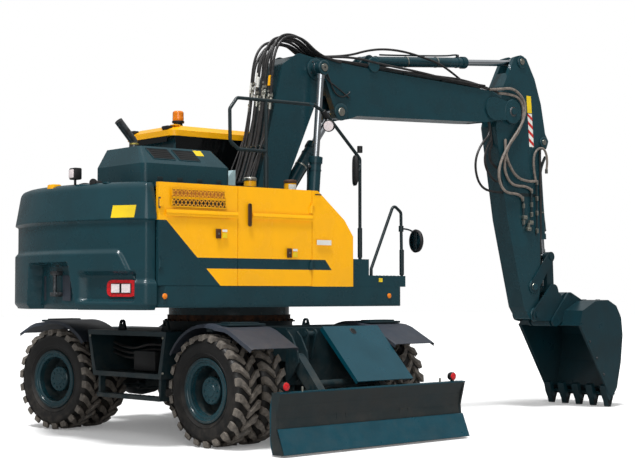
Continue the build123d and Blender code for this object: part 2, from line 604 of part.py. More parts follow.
def cab_glass():
    """Windscreen, rear, right and quarter panes, each let into the middle of its wall."""
    thin = GLASS_T / 2
    y_mid = CAB_IN_Y + CAB_WALL / 2
    panes = slab(window("right", SEAL), y_mid - thin, y_mid + thin)
    y_left = CAB_OUT_Y - CAB_WALL / 2
    panes += slab(window("quarter", SEAL), y_left - thin, y_left + thin)
    ring = cab_profile(CAB_WALL / 2 - thin) - cab_profile(CAB_WALL / 2 + thin)
    for x0, x1, z0, z1, edge in (
            (CAB_FRONT_X - 400, CAB_FRONT_X + 40, SCREEN_LOW_Z, SCREEN_TOP_Z, 90),
            (CAB_REAR_X - 10, CAB_REAR_X + 125, REAR_LOW_Z, REAR_TOP_Z, 110)):
        z0, z1 = z0 + SEAL, z1 - SEAL
        pane = ring & outline([(x0, z0), (x1, z0), (x1, z1), (x0, z1)])
        panes += slab(pane, CAB_IN_Y + edge + SEAL, CAB_OUT_Y - edge - SEAL)
    return panes


def cab_roof():
    low = outline([(CAB_REAR_X - 10, CAB_IN_Y - 20), (1010, CAB_IN_Y - 20), (1010, CAB_OUT_Y + 5),
                   (CAB_REAR_X - 10, CAB_OUT_Y + 5)], 90)
    top = outline([(CAB_REAR_X + 90, CAB_IN_Y + 60), (880, CAB_IN_Y + 60), (880, CAB_OUT_Y - 80),
                   (CAB_REAR_X + 90, CAB_OUT_Y - 80)], 80)
    z = CAB_ROOF_Z + SEAT
    return loft([Pos(0, 0, z) * low, Pos(0, 0, z + 60) * low, Pos(0, 0, z + 115) * top], ruled=True)


def seat():
    x, y, z = 60.0, (CAB_IN_Y + CAB_OUT_Y) / 2, CAB_LOW_Z + CAB_WALL
    base = box(x - 180, x + 220, y - 170, y + 170, z + 0.3, z + 280)
    base += box(x - 230, x + 280, y - 250, y + 250, z + 280, z + 400)
    back = slab(outline([(x - 240, z + 380), (x - 120, z + 380), (x - 210, z + 1000), (x - 300, z + 1000)], 25),
                y - 240, y + 240)
    return base + back


def console():
    y, z = (CAB_IN_Y + CAB_OUT_Y) / 2, CAB_LOW_Z + CAB_WALL
    post = slab(outline([(760, z + 0.3), (880, z + 0.3), (800, z + 720), (740, z + 700)]), y - 60, y + 60)
    wheel = Pos(730, y, z + 760) * Rot(0, -28, 0) * Torus(180, 15)
    hub = Pos(740, y, z + 735) * Rot(0, -28, 0) * Cylinder(45, 60)
    spokes = Pos(730, y, z + 758) * Rot(0, -28, 0) * (Box(24, 350, 14) + Box(350, 24, 14))
    pods = box(-60, 240, y - 380, y - 285, z + 0.3, z + 520) + box(-60, 240, y + 285, y + 380, z + 0.3, z + 520)
    return post + wheel + hub + spokes + pods


def exhaust():
    return pipe([(-1045, 200, COVER_Z + 0.3), (-1045, 200, 2960), (-1230, 200, 3160)], 42, 90)


# ---------------------------------------------------------------- boom, arm and bucket
def boom_base():
    """Lower boom: a box that widens upward, with cheeks that fork round the knuckle."""
    foot, top = BOOM_FOOT, KNUCKLE
    side = make_hull(disc(foot, 105).edges() + disc((585, 3830), 60).edges() + disc((760, 3930), 70).edges()
                     + disc(top, 120).edges() + disc((925, 3430), 30).edges() + disc((560, 2800), 20).edges())
    base = slab(side, BOOM_Y - BASE_HALF_W, BOOM_Y + BASE_HALF_W)
    inside = BOOM_HALF_W + 2 * GAP
    fork = make_hull(disc((700, 4150), 10).edges() + disc((690, 3560), 10).edges() + disc((1300, 3300), 10).edges()
                     + disc((1300, 4150), 10).edges())
    base -= slab(fork, BOOM_Y - inside, BOOM_Y + inside)
    base -= cross_pin(foot, PIN_R + FIT, BOOM_Y - 300, BOOM_Y + 300)
    relief = strap(ADJUST_FOOT, along(ADJUST_FOOT, ADJUST_EYE, 300), ADJUST_BARREL_R + 12, ADJUST_BARREL_R + 12)
    base -= slab(relief, BOOM_Y - ADJUST_BARREL_R - GAP, BOOM_Y + ADJUST_BARREL_R + GAP)
    base += cross_pin(top, PIN_R, BOOM_Y - BASE_HALF_W, BOOM_Y + BASE_HALF_W)
    base += both_sides(disc(top, 80), BOOM_Y, inside, LIFT_Y - LIFT_EYE_W / 2 - GAP)
    ear = strap(ADJUST_FOOT, (350, 2320), 62, 80)
    base += both_sides(ear, BOOM_Y, ADJUST_BARREL_R + GAP, ADJUST_BARREL_R + GAP + 25)
    base += cross_pin(ADJUST_FOOT, PIN_R, BOOM_Y - ADJUST_BARREL_R - 35, BOOM_Y + ADJUST_BARREL_R + 35)
    return base


def boom_upper():
    """Upper boom: long box from the knuckle to the nose fork."""
    web = outline([(900, 3905), (1010, 3990), (1840, 3935), (3741, 3872), (4080, 3730), (4200, 3690),
                   (4190, 3560), (4050, 3540), (3652, 3485), (3413, 3470), (1600, 3395), (1480, 3350),
                   (1390, 3335), (1290, 3350), (1270, 3450), (1150, 3740), (920, 3790)])
    boom = slab(web, BOOM_Y - BOOM_HALF_W, BOOM_Y + BOOM_HALF_W)
    boom += cross_pin(KNUCKLE, 100, BOOM_Y - BOOM_HALF_W - GAP, BOOM_Y + BOOM_HALF_W + GAP)
    boom -= cross_pin(KNUCKLE, PIN_R + FIT, BOOM_Y - 300, BOOM_Y + 300)
    # nose fork round the arm
    boom -= cross_pin(NOSE, NOSE_SLOT_R, BOOM_Y - ARM_HALF_W - GAP, BOOM_Y + ARM_HALF_W + GAP)
    cheek = strap((3780, 3660), NOSE, 140, 105)
    boom += both_sides(cheek, BOOM_Y, ARM_HALF_W + GAP, NOSE_HALF_W - 20)
    boom += cross_pin(NOSE, PIN_R, BOOM_Y - NOSE_HALF_W, BOOM_Y + NOSE_HALF_W)
    # slot for the adjusting cylinder's rod
    boom -= box(1180, 1520, BOOM_Y - 68, BOOM_Y + 68, 3250, 3600)
    # arm cylinder bracket on the back
    ear = strap(ARM_CYL_FOOT, (1800, 3930), 65, 130)
    boom += both_sides(ear, BOOM_Y, 66, 92)
    boom += cross_pin(ARM_CYL_FOOT, PIN_R, BOOM_Y - 110, BOOM_Y + 110)
    return boom


def arm():
    web = outline([(4190, 4330), (4300, 4365), (4400, 4330), (4549, 4090), (4665, 3780), (4740, 3420), (4800, 3330),
                   (4760, 3230), (4660, 3215), (4640, 3000), (4630, 1500), (4570, 1130), (4440, 1110),
                   (4330, 1260), (4050, 2320), (3850, 3450), (3990, 3960)], 25)
    body = slab(web, BOOM_Y - ARM_HALF_W, BOOM_Y + ARM_HALF_W)
    body -= cross_pin(ARM_TIP, PIN_R + FIT, BOOM_Y - 300, BOOM_Y + 300)
    body -= cross_pin(NOSE, PIN_R + FIT, BOOM_Y - 300, BOOM_Y + 300)
    # slots for the arm cylinder's rod and for the bucket cylinder's foot
    body -= box(3900, 4600, BOOM_Y - 70, BOOM_Y + 70, 4130, 4500)
    body -= box(4560, 4900, BOOM_Y - 62, BOOM_Y + 62, 3000, 3420)
    body += cross_pin(BUCKET_CYL_FOOT, PIN_R, BOOM_Y - 130, BOOM_Y + 130)
    body += cross_pin(ROCKER_FOOT, PIN_R, BOOM_Y - 160, BOOM_Y + 160)
    return body


def rocker():
    flat = strap(ROCKER_FOOT, ROCKER_TOP, 75, 62)
    plates = both_sides(flat, BOOM_Y, ARM_HALF_W + GAP, ARM_HALF_W + GAP + 16)
    plates -= cross_pin(ROCKER_FOOT, PIN_R + FIT, BOOM_Y - 300, BOOM_Y + 300)
    for s in (-1, 1):
        lo, hi = sorted((BOOM_Y + s * 52, BOOM_Y + s * 158))
        plates += cross_pin(ROCKER_TOP, PIN_R, lo, hi)
    return plates


def bucket_link():
    flat = strap(ROCKER_TOP, LINK_EYE, 60, 62)
    link = both_sides(flat, BOOM_Y, 55, 120)
    link -= cross_pin(ROCKER_TOP, PIN_R + FIT, BOOM_Y - 300, BOOM_Y + 300)
    link += cross_pin(LINK_EYE, 58, BOOM_Y - 120, BOOM_Y + 120)
    return link


def quick_coupler():
    flat = make_hull(disc(ARM_TIP, 78).edges() + disc(LINK_EYE, 78).edges() + disc((4900, 1300), 60).edges()
                     + disc((4790, 1150), 60).edges())
    plates = both_sides(flat, BOOM_Y, ARM_HALF_W + 26, 175)
    spine = make_hull(disc((4740, 1190), 30).edges() + disc((4930, 1400), 30).edges()
                      + disc((4860, 1150), 30).edges() + disc((5010, 1310), 30).edges())
    plates += slab(spine, BOOM_Y - 175, BOOM_Y + 175)
    plates += cross_pin(ARM_TIP, PIN_R, BOOM_Y - 190, BOOM_Y + 190)
    plates += cross_pin(COUPLER_LOW, PIN_R, BOOM_Y - 205, BOOM_Y + 205)
    plates += cross_pin(COUPLER_HIGH, PIN_R, BOOM_Y - 205, BOOM_Y + 205)
    plates += slab(strap((4860, 1180), COUPLER_LOW, 50, 62), BOOM_Y - 150, BOOM_Y + 150)
    plates += slab(strap((4980, 1330), COUPLER_HIGH, 50, 62), BOOM_Y - 150, BOOM_Y + 150)
    return plates


BUCKET_SHELL = [(4930, 1030), (4990, 1215), (5230, 1330), (5480, 1345), (5640, 1270), (5735, 1120), (5760, 900),
                (5720, 560), (5640, 240), (5560, 130)]


def bucket():
    t = 25.0
    lip = (5490, 160)
    side = outline(BUCKET_SHELL + [lip])
    hollow = offset(side, -t)
    # reaches past the wall's thickness, so the mouth is open
    mouth = outline([(4700, 900), (4960, 1040), (5505, 195), (5400, 60)])
    shell = slab(side, BOOM_Y - BUCKET_HALF_W, BOOM_Y + BUCKET_HALF_W)
    inner = slab(hollow + mouth, BOOM_Y - BUCKET_HALF_W + t, BOOM_Y + BUCKET_HALF_W - t)
    shell -= inner
    for s in (-1, 1):
        ear = make_hull(disc(COUPLER_LOW, 62).edges() + disc(COUPLER_HIGH, 62).edges()
                        + disc((5030, 1190), 30).edges() + disc((5330, 1320), 20).edges())
        plate = slab(ear, BOOM_Y + s * 195 - 14, BOOM_Y + s * 195 + 14)
        plate -= cross_pin(COUPLER_LOW, PIN_R + FIT, BOOM_Y - 300, BOOM_Y + 300)
        plate -= cross_pin(COUPLER_HIGH, PIN_R + FIT, BOOM_Y - 300, BOOM_Y + 300)
        shell += plate
    tooth = outline([(5430, 190), (5480, 12), (5520, 12), (5590, 190)])
    for i in range(5):
        y = BOOM_Y + (i - 2) * 230
        shell += slab(tooth, y - 38, y + 38)
    return shell


# ---------------------------------------------------------------- blade
def blade_arms():
    low, end = BLADE_ARM_TOP, BLADE_ARM_LOW
    arms = both_sides(strap(low, end, 65, 60), 0, BLADE_ARM_Y - BLADE_ARM_HALF, BLADE_ARM_Y + BLADE_ARM_HALF)
    arms += cross_pin(along(low, end, 300), 38, -BLADE_ARM_Y, BLADE_ARM_Y)
    arms -= cross_pin(low, SMALL_PIN_R + FIT, -900, 900)
    arms -= cross_pin(end, SMALL_PIN_R + FIT, -900, 900)
    return arms


def blade_cover_plate():
    """Wide upper link of the blade, a flat plate with hinge eyes along both edges."""
    high, low = COVER_TOP, COVER_LOW
    u = unit(high, low)
    n = (-u[1], u[0])
    span = hypot(low[0] - high[0], low[1] - high[1])
    lift = [(high[0] + n[0] * a + u[0] * b, high[1] + n[1] * a + u[1] * b)
            for a, b in ((14, 62), (34, 62), (34, span - 62), (14, span - 62))]
    plate = slab(outline(lift), -COVER_HALF_W, COVER_HALF_W)
    for s in (-1, 1):
        for p in (high, low):
            plate += cross_pin(p, 40, s * 250 - 40, s * 250 + 40)
        plate += slab(strap(high, low, 36, 36), s * 250 - 20, s * 250 + 20)
    plate -= cross_pin(high, SMALL_PIN_R + FIT, -900, 900)
    return plate


def blade():
    skin = outline([(2152, 561), (2100, 440), (2082, 330), (2094, 225), (2197, 20), (2165, 14), (2060, 200),
                    (2052, 330), (2062, 470), (2070, 535), (2052, 561)])
    panel = slab(skin, -BLADE_HALF_W, BLADE_HALF_W)
    cheek = outline([(2150, 561), (2092, 330), (2100, 225), (2195, 20), (2060, 14), (2030, 160), (2040, 561)])
    panel += both_sides(cheek, 0, BLADE_HALF_W - 20, BLADE_HALF_W)
    for s in (-1, 1):
        lug = make_hull(disc(BLADE_ARM_LOW, 58).edges() + disc((2078, 190), 14).edges()
                        + disc((2068, 400), 14).edges())
        panel += both_sides(lug, s * BLADE_ARM_Y, BLADE_ARM_HALF + GAP, BLADE_ARM_HALF + GAP + 20)
        panel += cross_pin(BLADE_ARM_LOW, SMALL_PIN_R, s * BLADE_ARM_Y - 75, s * BLADE_ARM_Y + 75)
        lug = make_hull(disc(COVER_LOW, 42).edges() + disc((2075, 440), 14).edges() + disc((2080, 545), 14).edges())
        panel += both_sides(lug, s * 250, 45, 60)
        panel += both_sides(disc(COVER_LOW, SMALL_PIN_R), s * 250, 60, 68)
    return panel


# ---------------------------------------------------------------- assembly
def turn_chassis(shape):
    return Rot(0, 0, SLEW_REST) * shape


def build_undercarriage():
    fixed = {"chassis_frame": chassis_frame(), "slew_ring": slew_ring(),
             "axles": fixed_axle() + steer_axle(), "drive_line": drive_line(),
             "tool_bays": tool_bay(-1) + tool_bay(1), "blade_bracket": blade_bracket(),
             "blade_end_mudguards": blade_end_mudguards()}
    for node, shape in fixed.items():
        add("chassis", node, turn_chassis(shape))
    for name, s in (("right", -1), ("left", 1)):
        turn = Pos(STEER_AXLE_X, s * KINGPIN_Y, 0) * Rot(0, 0, STEER_REST) * Pos(-STEER_AXLE_X, -s * KINGPIN_Y, 0)
        add("knuckle_" + name, "knuckle_" + name, turn_chassis(turn * knuckle(s)))
        shift = STEER_ARM * sin(radians(STEER_REST))
        if s < 0:
            add("steering_rod", "steering_rod", turn_chassis(Pos(0, shift, 0) * steering_rod()))
        rims, tyres = wheel_parts(s)
        for axle, x, extra in (("blade_end", BLADE_AXLE_X, Pos(0, 0, 0)), ("steered", STEER_AXLE_X, turn)):
            body = "wheel_" + axle + "_" + name
            add(body, "rims_" + axle + "_" + name, turn_chassis(extra * (Pos(x, 0, TYRE_R) * rims)))
            add(body, "tyres_" + axle + "_" + name, turn_chassis(extra * (Pos(x, 0, TYRE_R) * tyres)))


def build_blade():
    add("blade_arms", "blade_arms", turn_chassis(blade_arms()))
    add("blade_cover_plate", "blade_cover_plate", turn_chassis(blade_cover_plate()))
    add("blade", "blade", turn_chassis(blade()))
    barrels = rods = None
    for s in (-1, 1):
        b, r = hydraulic(BLADE_CYL_FOOT, blade_cylinder_eye(), s * BLADE_CYL_Y, 34, 22, 430, 38, 80, SMALL_PIN_R, BLADE_TRAVEL)
        barrels = b if barrels is None else barrels + b
        rods = r if rods is None else rods + r
    add("blade_barrels", "blade_barrels", turn_chassis(barrels))
    add("blade_rods", "blade_rods", turn_chassis(rods))


def build_upper():
    fixed = {"upper_frame": upper_frame(), "counterweight": counterweight(), "engine": engine(),
             "rear_deck": rear_deck(), "tank_block": tank_block(),
             "front_steps": front_steps(), "hand_rails": hand_rails(), "fittings": fittings(),
             "front_side_panel": side_panel(FRONT_SEAM_X + SEAM / 2, PANEL_FRONT_X, -1),
             "cab_shell": cab_shell(), "cab_roof": cab_roof(), "cab_glass": cab_glass(),
             "cab_interior": seat() + console(), "exhaust": exhaust()}
    rear_hinge_x, wall_x = PANEL_REAR_X + HINGE_R, PANEL_REAR_X - SEAM - 12
    left_pins = hinge_pins(rear_hinge_x, HALF_W + HINGE_OUT, PANEL_HINGES, wall_x, HALF_W)
    fixed["counterweight"] += left_pins + mirror_y(left_pins)
    fixed["cab_shell"] += hinge_pins(DOOR_X0 + HINGE_R, CAB_OUT_Y + HINGE_OUT, CAB_HINGES,
                                     DOOR_X0 - SEAM - 12, CAB_OUT_Y)
    pump_hinge_x = FRONT_SEAM_X - SEAM / 2 - HINGE_R
    fixed["front_side_panel"] += mirror_y(hinge_pins(pump_hinge_x, HALF_W + HINGE_OUT, PANEL_HINGES,
                                                     FRONT_SEAM_X + SEAM / 2 + 12, HALF_W))
    for node, shape in fixed.items():
        add("upper", node, shape)
    add("engine_hood", "engine_hood", engine_hood())
    add("rear_door_right", "rear_door_right",
        side_panel(PANEL_REAR_X, REAR_SEAM_X - SEAM / 2, -1, PANEL_REAR_X + HINGE_R))
    add("pump_door_right", "pump_door_right",
        side_panel(REAR_SEAM_X + SEAM / 2, FRONT_SEAM_X - SEAM / 2, -1, FRONT_SEAM_X - SEAM / 2 - HINGE_R))
    add("rear_door_left", "rear_door_left", side_panel(PANEL_REAR_X, -540, 1, PANEL_REAR_X + HINGE_R))
    add("cab_door", "cab_door", cab_door())
    add("cab_door", "cab_door_glass", door_glass())


def build_front():
    add("boom_base", "boom_base", boom_base())
    add("boom_upper", "boom_upper", boom_upper())
    add("arm", "arm", arm())
    add("rocker", "rocker", rocker())
    add("bucket_link", "bucket_link", bucket_link())
    add("bucket", "quick_coupler", quick_coupler())
    add("bucket", "bucket", bucket())
    barrels = rods = None
    for s in (-1, 1):
        b, r = hydraulic(LIFT_FOOT, KNUCKLE, BOOM_Y + s * LIFT_Y, 65, 38, 1420, 75, LIFT_EYE_W, PIN_R, 170)
        barrels = b if barrels is None else barrels + b
        rods = r if rods is None else rods + r
    add("lift_barrels", "lift_barrels", barrels)
    add("lift_rods", "lift_rods", rods)
    for name, foot, eye, size, travel in (
            ("adjust", ADJUST_FOOT, ADJUST_EYE, (ADJUST_BARREL_R, 40, 1120, 60, 120), 310),
            ("arm", ARM_CYL_FOOT, ARM_CYL_EYE, (60, 38, 1610, 60, 120), 460),
            ("bucket", BUCKET_CYL_FOOT, ROCKER_TOP, (52, 34, 1210, 52, 90), 830)):
        b, r = hydraulic(foot, eye, BOOM_Y, *size, PIN_R, travel)
        add(name + "_barrel", name + "_barrel", b)
        add(name + "_rod", name + "_rod", r)


build_undercarriage()
build_blade()
build_upper()
build_front()

# The finished machine's own frame: centre of its bounding box, on the ground.
WHOLE = Compound([s for nodes in BODIES.values() for part in nodes.values() for s in part.solids()]).bounding_box()
SHIFT = (-(WHOLE.min.X + WHOLE.max.X) / 2, -(WHOLE.min.Y + WHOLE.max.Y) / 2, -WHOLE.min.Z)

os.makedirs("parts", exist_ok=True)
for nodes in BODIES.values():
    for node, shape in nodes.items():
        export_step(Pos(*SHIFT) * Compound(shape.solids()), "parts/" + node + ".step")
print("shift", SHIFT, "low", WHOLE.min, "high", WHOLE.max)
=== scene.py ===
"""Wheeled excavator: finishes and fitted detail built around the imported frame.

Each operator makes one piece or one group of like pieces, in metres, in the frame's own axes.
"""
import json
import math

import bmesh
import bpy
from mathutils import Matrix, Vector


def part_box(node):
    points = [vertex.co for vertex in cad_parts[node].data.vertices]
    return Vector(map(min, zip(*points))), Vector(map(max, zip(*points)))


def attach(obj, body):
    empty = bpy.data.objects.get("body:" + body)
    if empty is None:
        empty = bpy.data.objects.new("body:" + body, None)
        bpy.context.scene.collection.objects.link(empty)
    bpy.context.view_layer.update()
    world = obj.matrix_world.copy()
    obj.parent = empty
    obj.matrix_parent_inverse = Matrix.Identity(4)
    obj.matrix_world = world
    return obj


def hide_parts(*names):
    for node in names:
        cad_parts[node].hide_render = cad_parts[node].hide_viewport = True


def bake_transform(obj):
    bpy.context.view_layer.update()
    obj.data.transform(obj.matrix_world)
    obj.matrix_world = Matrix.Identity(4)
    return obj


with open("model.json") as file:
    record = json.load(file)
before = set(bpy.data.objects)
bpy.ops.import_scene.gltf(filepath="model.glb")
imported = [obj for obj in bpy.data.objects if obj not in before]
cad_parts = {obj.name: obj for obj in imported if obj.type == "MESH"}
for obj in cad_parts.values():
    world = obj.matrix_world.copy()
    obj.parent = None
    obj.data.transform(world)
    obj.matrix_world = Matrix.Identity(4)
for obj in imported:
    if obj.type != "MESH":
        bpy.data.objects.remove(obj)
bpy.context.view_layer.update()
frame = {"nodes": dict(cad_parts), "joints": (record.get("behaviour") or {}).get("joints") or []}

bl_info = {
    "name": "Wheeled excavator",
    "version": (1, 0, 0),
    "blender": (4, 5, 0),
    "location": "3D View > Sidebar > Excavator",
    "description": "Builds the finishes and fitted detail of a wheeled excavator on its packed frame",
    "category": "Add Mesh",
}

MM = 0.001
DUST_CLOUD = 111 * MM                  # width of the patches in which road dust settles


def linear(text):
    """An sRGB hex value as linear red, green, blue and alpha."""
    parts = [int(text[i:i + 2], 16) / 255 for i in (1, 3, 5)]
    return tuple(c / 12.92 if c <= 0.04045 else ((c + 0.055) / 1.055) ** 2.4 for c in parts) + (1.0,)


# ---------------------------------------------------------------- places in the frame
RING_LOW, RING_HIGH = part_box("slew_ring")
AXIS = Vector(((RING_LOW.x + RING_HIGH.x) / 2, (RING_LOW.y + RING_HIGH.y) / 2, 0.0))
JOINTS = {j["name"]: j for j in frame["joints"]}
ACROSS = Vector(JOINTS["wheel_blade_end_right_spin"]["axis"]).normalized()   # chassis left
AHEAD = Vector((ACROSS.y, -ACROSS.x, 0.0))                                    # towards the blade

UPPER = Matrix.Translation(AXIS)       # upper structure: X forward, Y to the cab side, Z up
CHASSIS = Matrix(((AHEAD.x, ACROSS.x, 0, AXIS.x), (AHEAD.y, ACROSS.y, 0, AXIS.y), (0, 0, 1, 0), (0, 0, 0, 1)))
BOOM_Y = -0.05                         # centre plane of boom, arm and bucket in the upper frame

# Pins of the front, X and Z in the upper frame.
LIFT_FOOT, KNUCKLE = (0.78, 1.47), (0.97, 3.85)
ADJUST_FOOT, ADJUST_EYE = (0.44, 2.15), (1.36, 3.42)
ARM_CYLINDER_FOOT, ARM_CYLINDER_EYE = (1.84, 4.045), (4.305, 4.28)
ARM_PIVOT = (4.11, 3.645)
BUCKET_CYLINDER_FOOT, BUCKET_CYLINDER_EYE = (4.70, 3.31), (4.815, 1.885)


def in_upper(x, y, z):
    """A point of the upper structure's frame, in the row's frame."""
    return UPPER @ Vector((x, y, z))


def on_pin(pin, y):
    """A point on a pin's centre line, in the upper frame."""
    return Vector((pin[0], y, pin[1]))


def wheel_frame(node, outward):
    """Local axes of one twin wheel: Y points outward along its axle, Z up."""
    low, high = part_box(node)
    spin = Vector(JOINTS["wheel_" + node.removeprefix("tyres_") + "_spin"]["axis"]).normalized() * outward
    side = Vector((0, 0, 1)).cross(spin).normalized() * -1
    centre = (low + high) / 2
    return Matrix(((side.x, spin.x, 0, centre.x), (side.y, spin.y, 0, centre.y),
                   (side.z, spin.z, 1, centre.z), (0, 0, 0, 1)))


WHEELS = {"blade_end_right": -1, "blade_end_left": 1, "steered_right": -1, "steered_left": 1}


# ---------------------------------------------------------------- settings
def size(name, text, default):
    """A length that a user can change."""
    return bpy.props.FloatProperty(name=name, description=text, default=default, unit="LENGTH", precision=4)


def tint(name, text, value):
    """A colour that a user can change, from its sRGB hex value."""
    return bpy.props.FloatVectorProperty(name=name, description=text, default=linear(value), size=4, min=0.0,
                                         max=1.0, subtype="COLOR")


class ExcavatorSizes(bpy.types.PropertyGroup):
    lug_height: size("Lug height", "How far the tread lugs stand over the tyre's carcass", 0.030)
    lug_width: size("Lug width", "Width of a tread lug round the tyre", 0.098)
    hose_radius: size("Hose radius", "Radius of the pressure hoses over the boom", 0.0145)
    small_hose_radius: size("Small hose radius", "Radius of the pilot and grease hoses", 0.008)
    bolt_radius: size("Bolt radius", "Radius across the corners of the common bolt heads", 0.015)


class ExcavatorColours(bpy.types.PropertyGroup):
    petrol: tint("Petrol", "Dark petrol of the bodywork and boom", "#173A42")
    chassis: tint("Chassis", "Chassis and axle paint", "#12292F")
    blade: tint("Blade", "Blue petrol of the blade and its cover plate", "#003E4C")
    yellow: tint("Yellow", "Warm yellow of the side panels and cab roof", "#FFB60F")
    guards: tint("Guards", "Blue grey of the moulded mudguards", "#303742")
    tyre: tint("Tyre", "Dark rubber", "#0E0E0E")
    hose: tint("Hose", "Black rubber of the hoses", "#151516")


# ---------------------------------------------------------------- shader building
def add_node(tree, kind, inputs=None, **settings):
    """Add a shader node; an input is a value or the socket it is linked from."""
    made = tree.nodes.new(kind)
    for key, value in settings.items():
        setattr(made, key, value)
    for key, value in (inputs or {}).items():
        if isinstance(value, bpy.types.NodeSocket):
            tree.links.new(value, made.inputs[key])
        else:
            made.inputs[key].default_value = value
    return made


def finish(name, colour, other=None, patch=300 * MM, roughness=0.4, spread=0.08, metallic=0.0, ior=None,
           grain=6 * MM, depth=0.05 * MM, dust=0.0, dust_top=0.9, coat=0.0, split=None, second=None):
    """A surface whose colour drifts over patches, with its own grain and some dust near the ground.

    patch, grain and depth are real sizes: the width of a drift in shade, of one bump and its height.
    split draws the mask at which the second colour shows.
    """
    made = bpy.data.materials.new(name)
    made.use_nodes = True
    tree = made.node_tree
    shader = tree.nodes["Principled BSDF"]
    place = add_node(tree, "ShaderNodeTexCoord").outputs["Object"]
    drift = add_node(tree, "ShaderNodeTexNoise", {"Vector": place, "Scale": 1.0 / patch, "Detail": 5.0,
                                                  "Roughness": 0.6}).outputs["Fac"]
    share = add_node(tree, "ShaderNodeMapRange", {"Value": drift, "From Min": 0.35,
                                                  "From Max": 0.65}).outputs[0]
    other = other or tuple(c * 0.82 for c in colour[:3]) + (1.0,)
    base = add_node(tree, "ShaderNodeMix", {0: share, 6: colour, 7: other}, data_type="RGBA").outputs[2]
    if split:
        mask = split(tree, place)
        warm = add_node(tree, "ShaderNodeMix",
                        {0: share, 6: second, 7: tuple(c * 0.93 for c in second[:3]) + (1.0,)},
                        data_type="RGBA").outputs[2]
        base = add_node(tree, "ShaderNodeMix", {0: mask, 6: base, 7: warm}, data_type="RGBA").outputs[2]
    fine = add_node(tree, "ShaderNodeTexNoise", {"Vector": place, "Scale": 1.0 / grain,
                                                 "Detail": 3.0}).outputs["Fac"]
    rough = add_node(tree, "ShaderNodeMapRange", {"Value": drift, "From Min": 0.3, "From Max": 0.7,
                                                  "To Min": max(0.02, roughness - spread),
                                                  "To Max": min(1.0, roughness + spread)}).outputs[0]
    if dust:
        height = add_node(tree, "ShaderNodeSeparateXYZ", {0: place}).outputs["Z"]
        low = add_node(tree, "ShaderNodeMapRange", {"Value": height, "From Min": dust_top,
                                                    "From Max": 0.0}).outputs[0]
        specks = add_node(tree, "ShaderNodeTexNoise",
                          {"Vector": place, "Scale": 1.0 / DUST_CLOUD, "Detail": 8.0,
                           "Roughness": 0.7}).outputs["Fac"]
        thin = add_node(tree, "ShaderNodeMapRange", {"Value": specks, "From Min": 0.42,
                                                     "From Max": 0.75}).outputs[0]
        film = add_node(tree, "ShaderNodeMath", {0: low, 1: thin}, operation="MULTIPLY").outputs[0]
        film = add_node(tree, "ShaderNodeMath", {0: film, 1: dust}, operation="MULTIPLY").outputs[0]
        base = add_node(tree, "ShaderNodeMix", {0: film, 6: base, 7: linear("#8E8274")},
                        data_type="RGBA").outputs[2]
        rough = add_node(tree, "ShaderNodeMix", {0: film, 2: rough, 3: 0.9}).outputs[0]
    bump = add_node(tree, "ShaderNodeBump", {"Height": fine, "Distance": depth,
                                             "Strength": 1.0}).outputs["Normal"]
    tree.links.new(base, shader.inputs["Base Color"])
    tree.links.new(rough, shader.inputs["Roughness"])
    tree.links.new(bump, shader.inputs["Normal"])
    shader.inputs["Metallic"].default_value = metallic
    if ior:
        shader.inputs["IOR"].default_value = ior
    shader.inputs["Coat Weight"].default_value = coat
    return made


def panel_split(tree, place):
    """One where the side panels are yellow: above a slanted edge and round a dark belt line."""
    axes = add_node(tree, "ShaderNodeSeparateXYZ", {0: place})
    x = add_node(tree, "ShaderNodeMath", {0: axes.outputs["X"], 1: AXIS.x}, operation="SUBTRACT").outputs[0]
    z = axes.outputs["Z"]
    slant = add_node(tree, "ShaderNodeMath", {0: x, 1: 0.988, 2: z}, operation="MULTIPLY_ADD").outputs[0]
    end = add_node(tree, "ShaderNodeMath", {0: z, 1: 0.82, 2: x}, operation="MULTIPLY_ADD").outputs[0]
    tests = {}
    for name, value, edge, sign in (("front", x, -1.700, "GREATER_THAN"), ("high", z, 2.096, "GREATER_THAN"),
                                    ("slanted", slant, 0.512, "GREATER_THAN"),
                                    ("low", z, 1.66, "GREATER_THAN"), ("top", z, 1.76, "LESS_THAN"),
                                    ("end", end, 1.713, "LESS_THAN")):
        tests[name] = add_node(tree, "ShaderNodeMath", {0: value, 1: edge}, operation=sign).outputs[0]
    for name, first, second, how in (("area", "high", "slanted", "MAXIMUM"),
                                     ("yellow", "front", "area", "MULTIPLY"),
                                     ("band", "low", "top", "MULTIPLY"), ("belt", "band", "end", "MULTIPLY"),
                                     ("mask", "yellow", "belt", "SUBTRACT")):
        tests[name] = add_node(tree, "ShaderNodeMath", {0: tests[first], 1: tests[second]},
                               operation=how).outputs[0]
    return tests["mask"]


def glass_finish(name, colour):
    """Tinted safety glass: a smooth dark pane that half shows what stands behind it."""
    made = bpy.data.materials.new(name)
    made.use_nodes = True
    tree = made.node_tree
    shader = tree.nodes["Principled BSDF"]
    place = add_node(tree, "ShaderNodeTexCoord").outputs["Object"]
    haze = add_node(tree, "ShaderNodeTexNoise", {"Vector": place, "Scale": 1.0 / (250 * MM),
                                                 "Detail": 4.0}).outputs["Fac"]
    rough = add_node(tree, "ShaderNodeMapRange", {"Value": haze, "To Min": 0.02, "To Max": 0.07}).outputs[0]
    tree.links.new(rough, shader.inputs["Roughness"])
    shader.inputs["Base Color"].default_value = colour
    shader.inputs["IOR"].default_value = 1.5
    shader.inputs["Alpha"].default_value = 0.55
    return made


FINISHES = {}


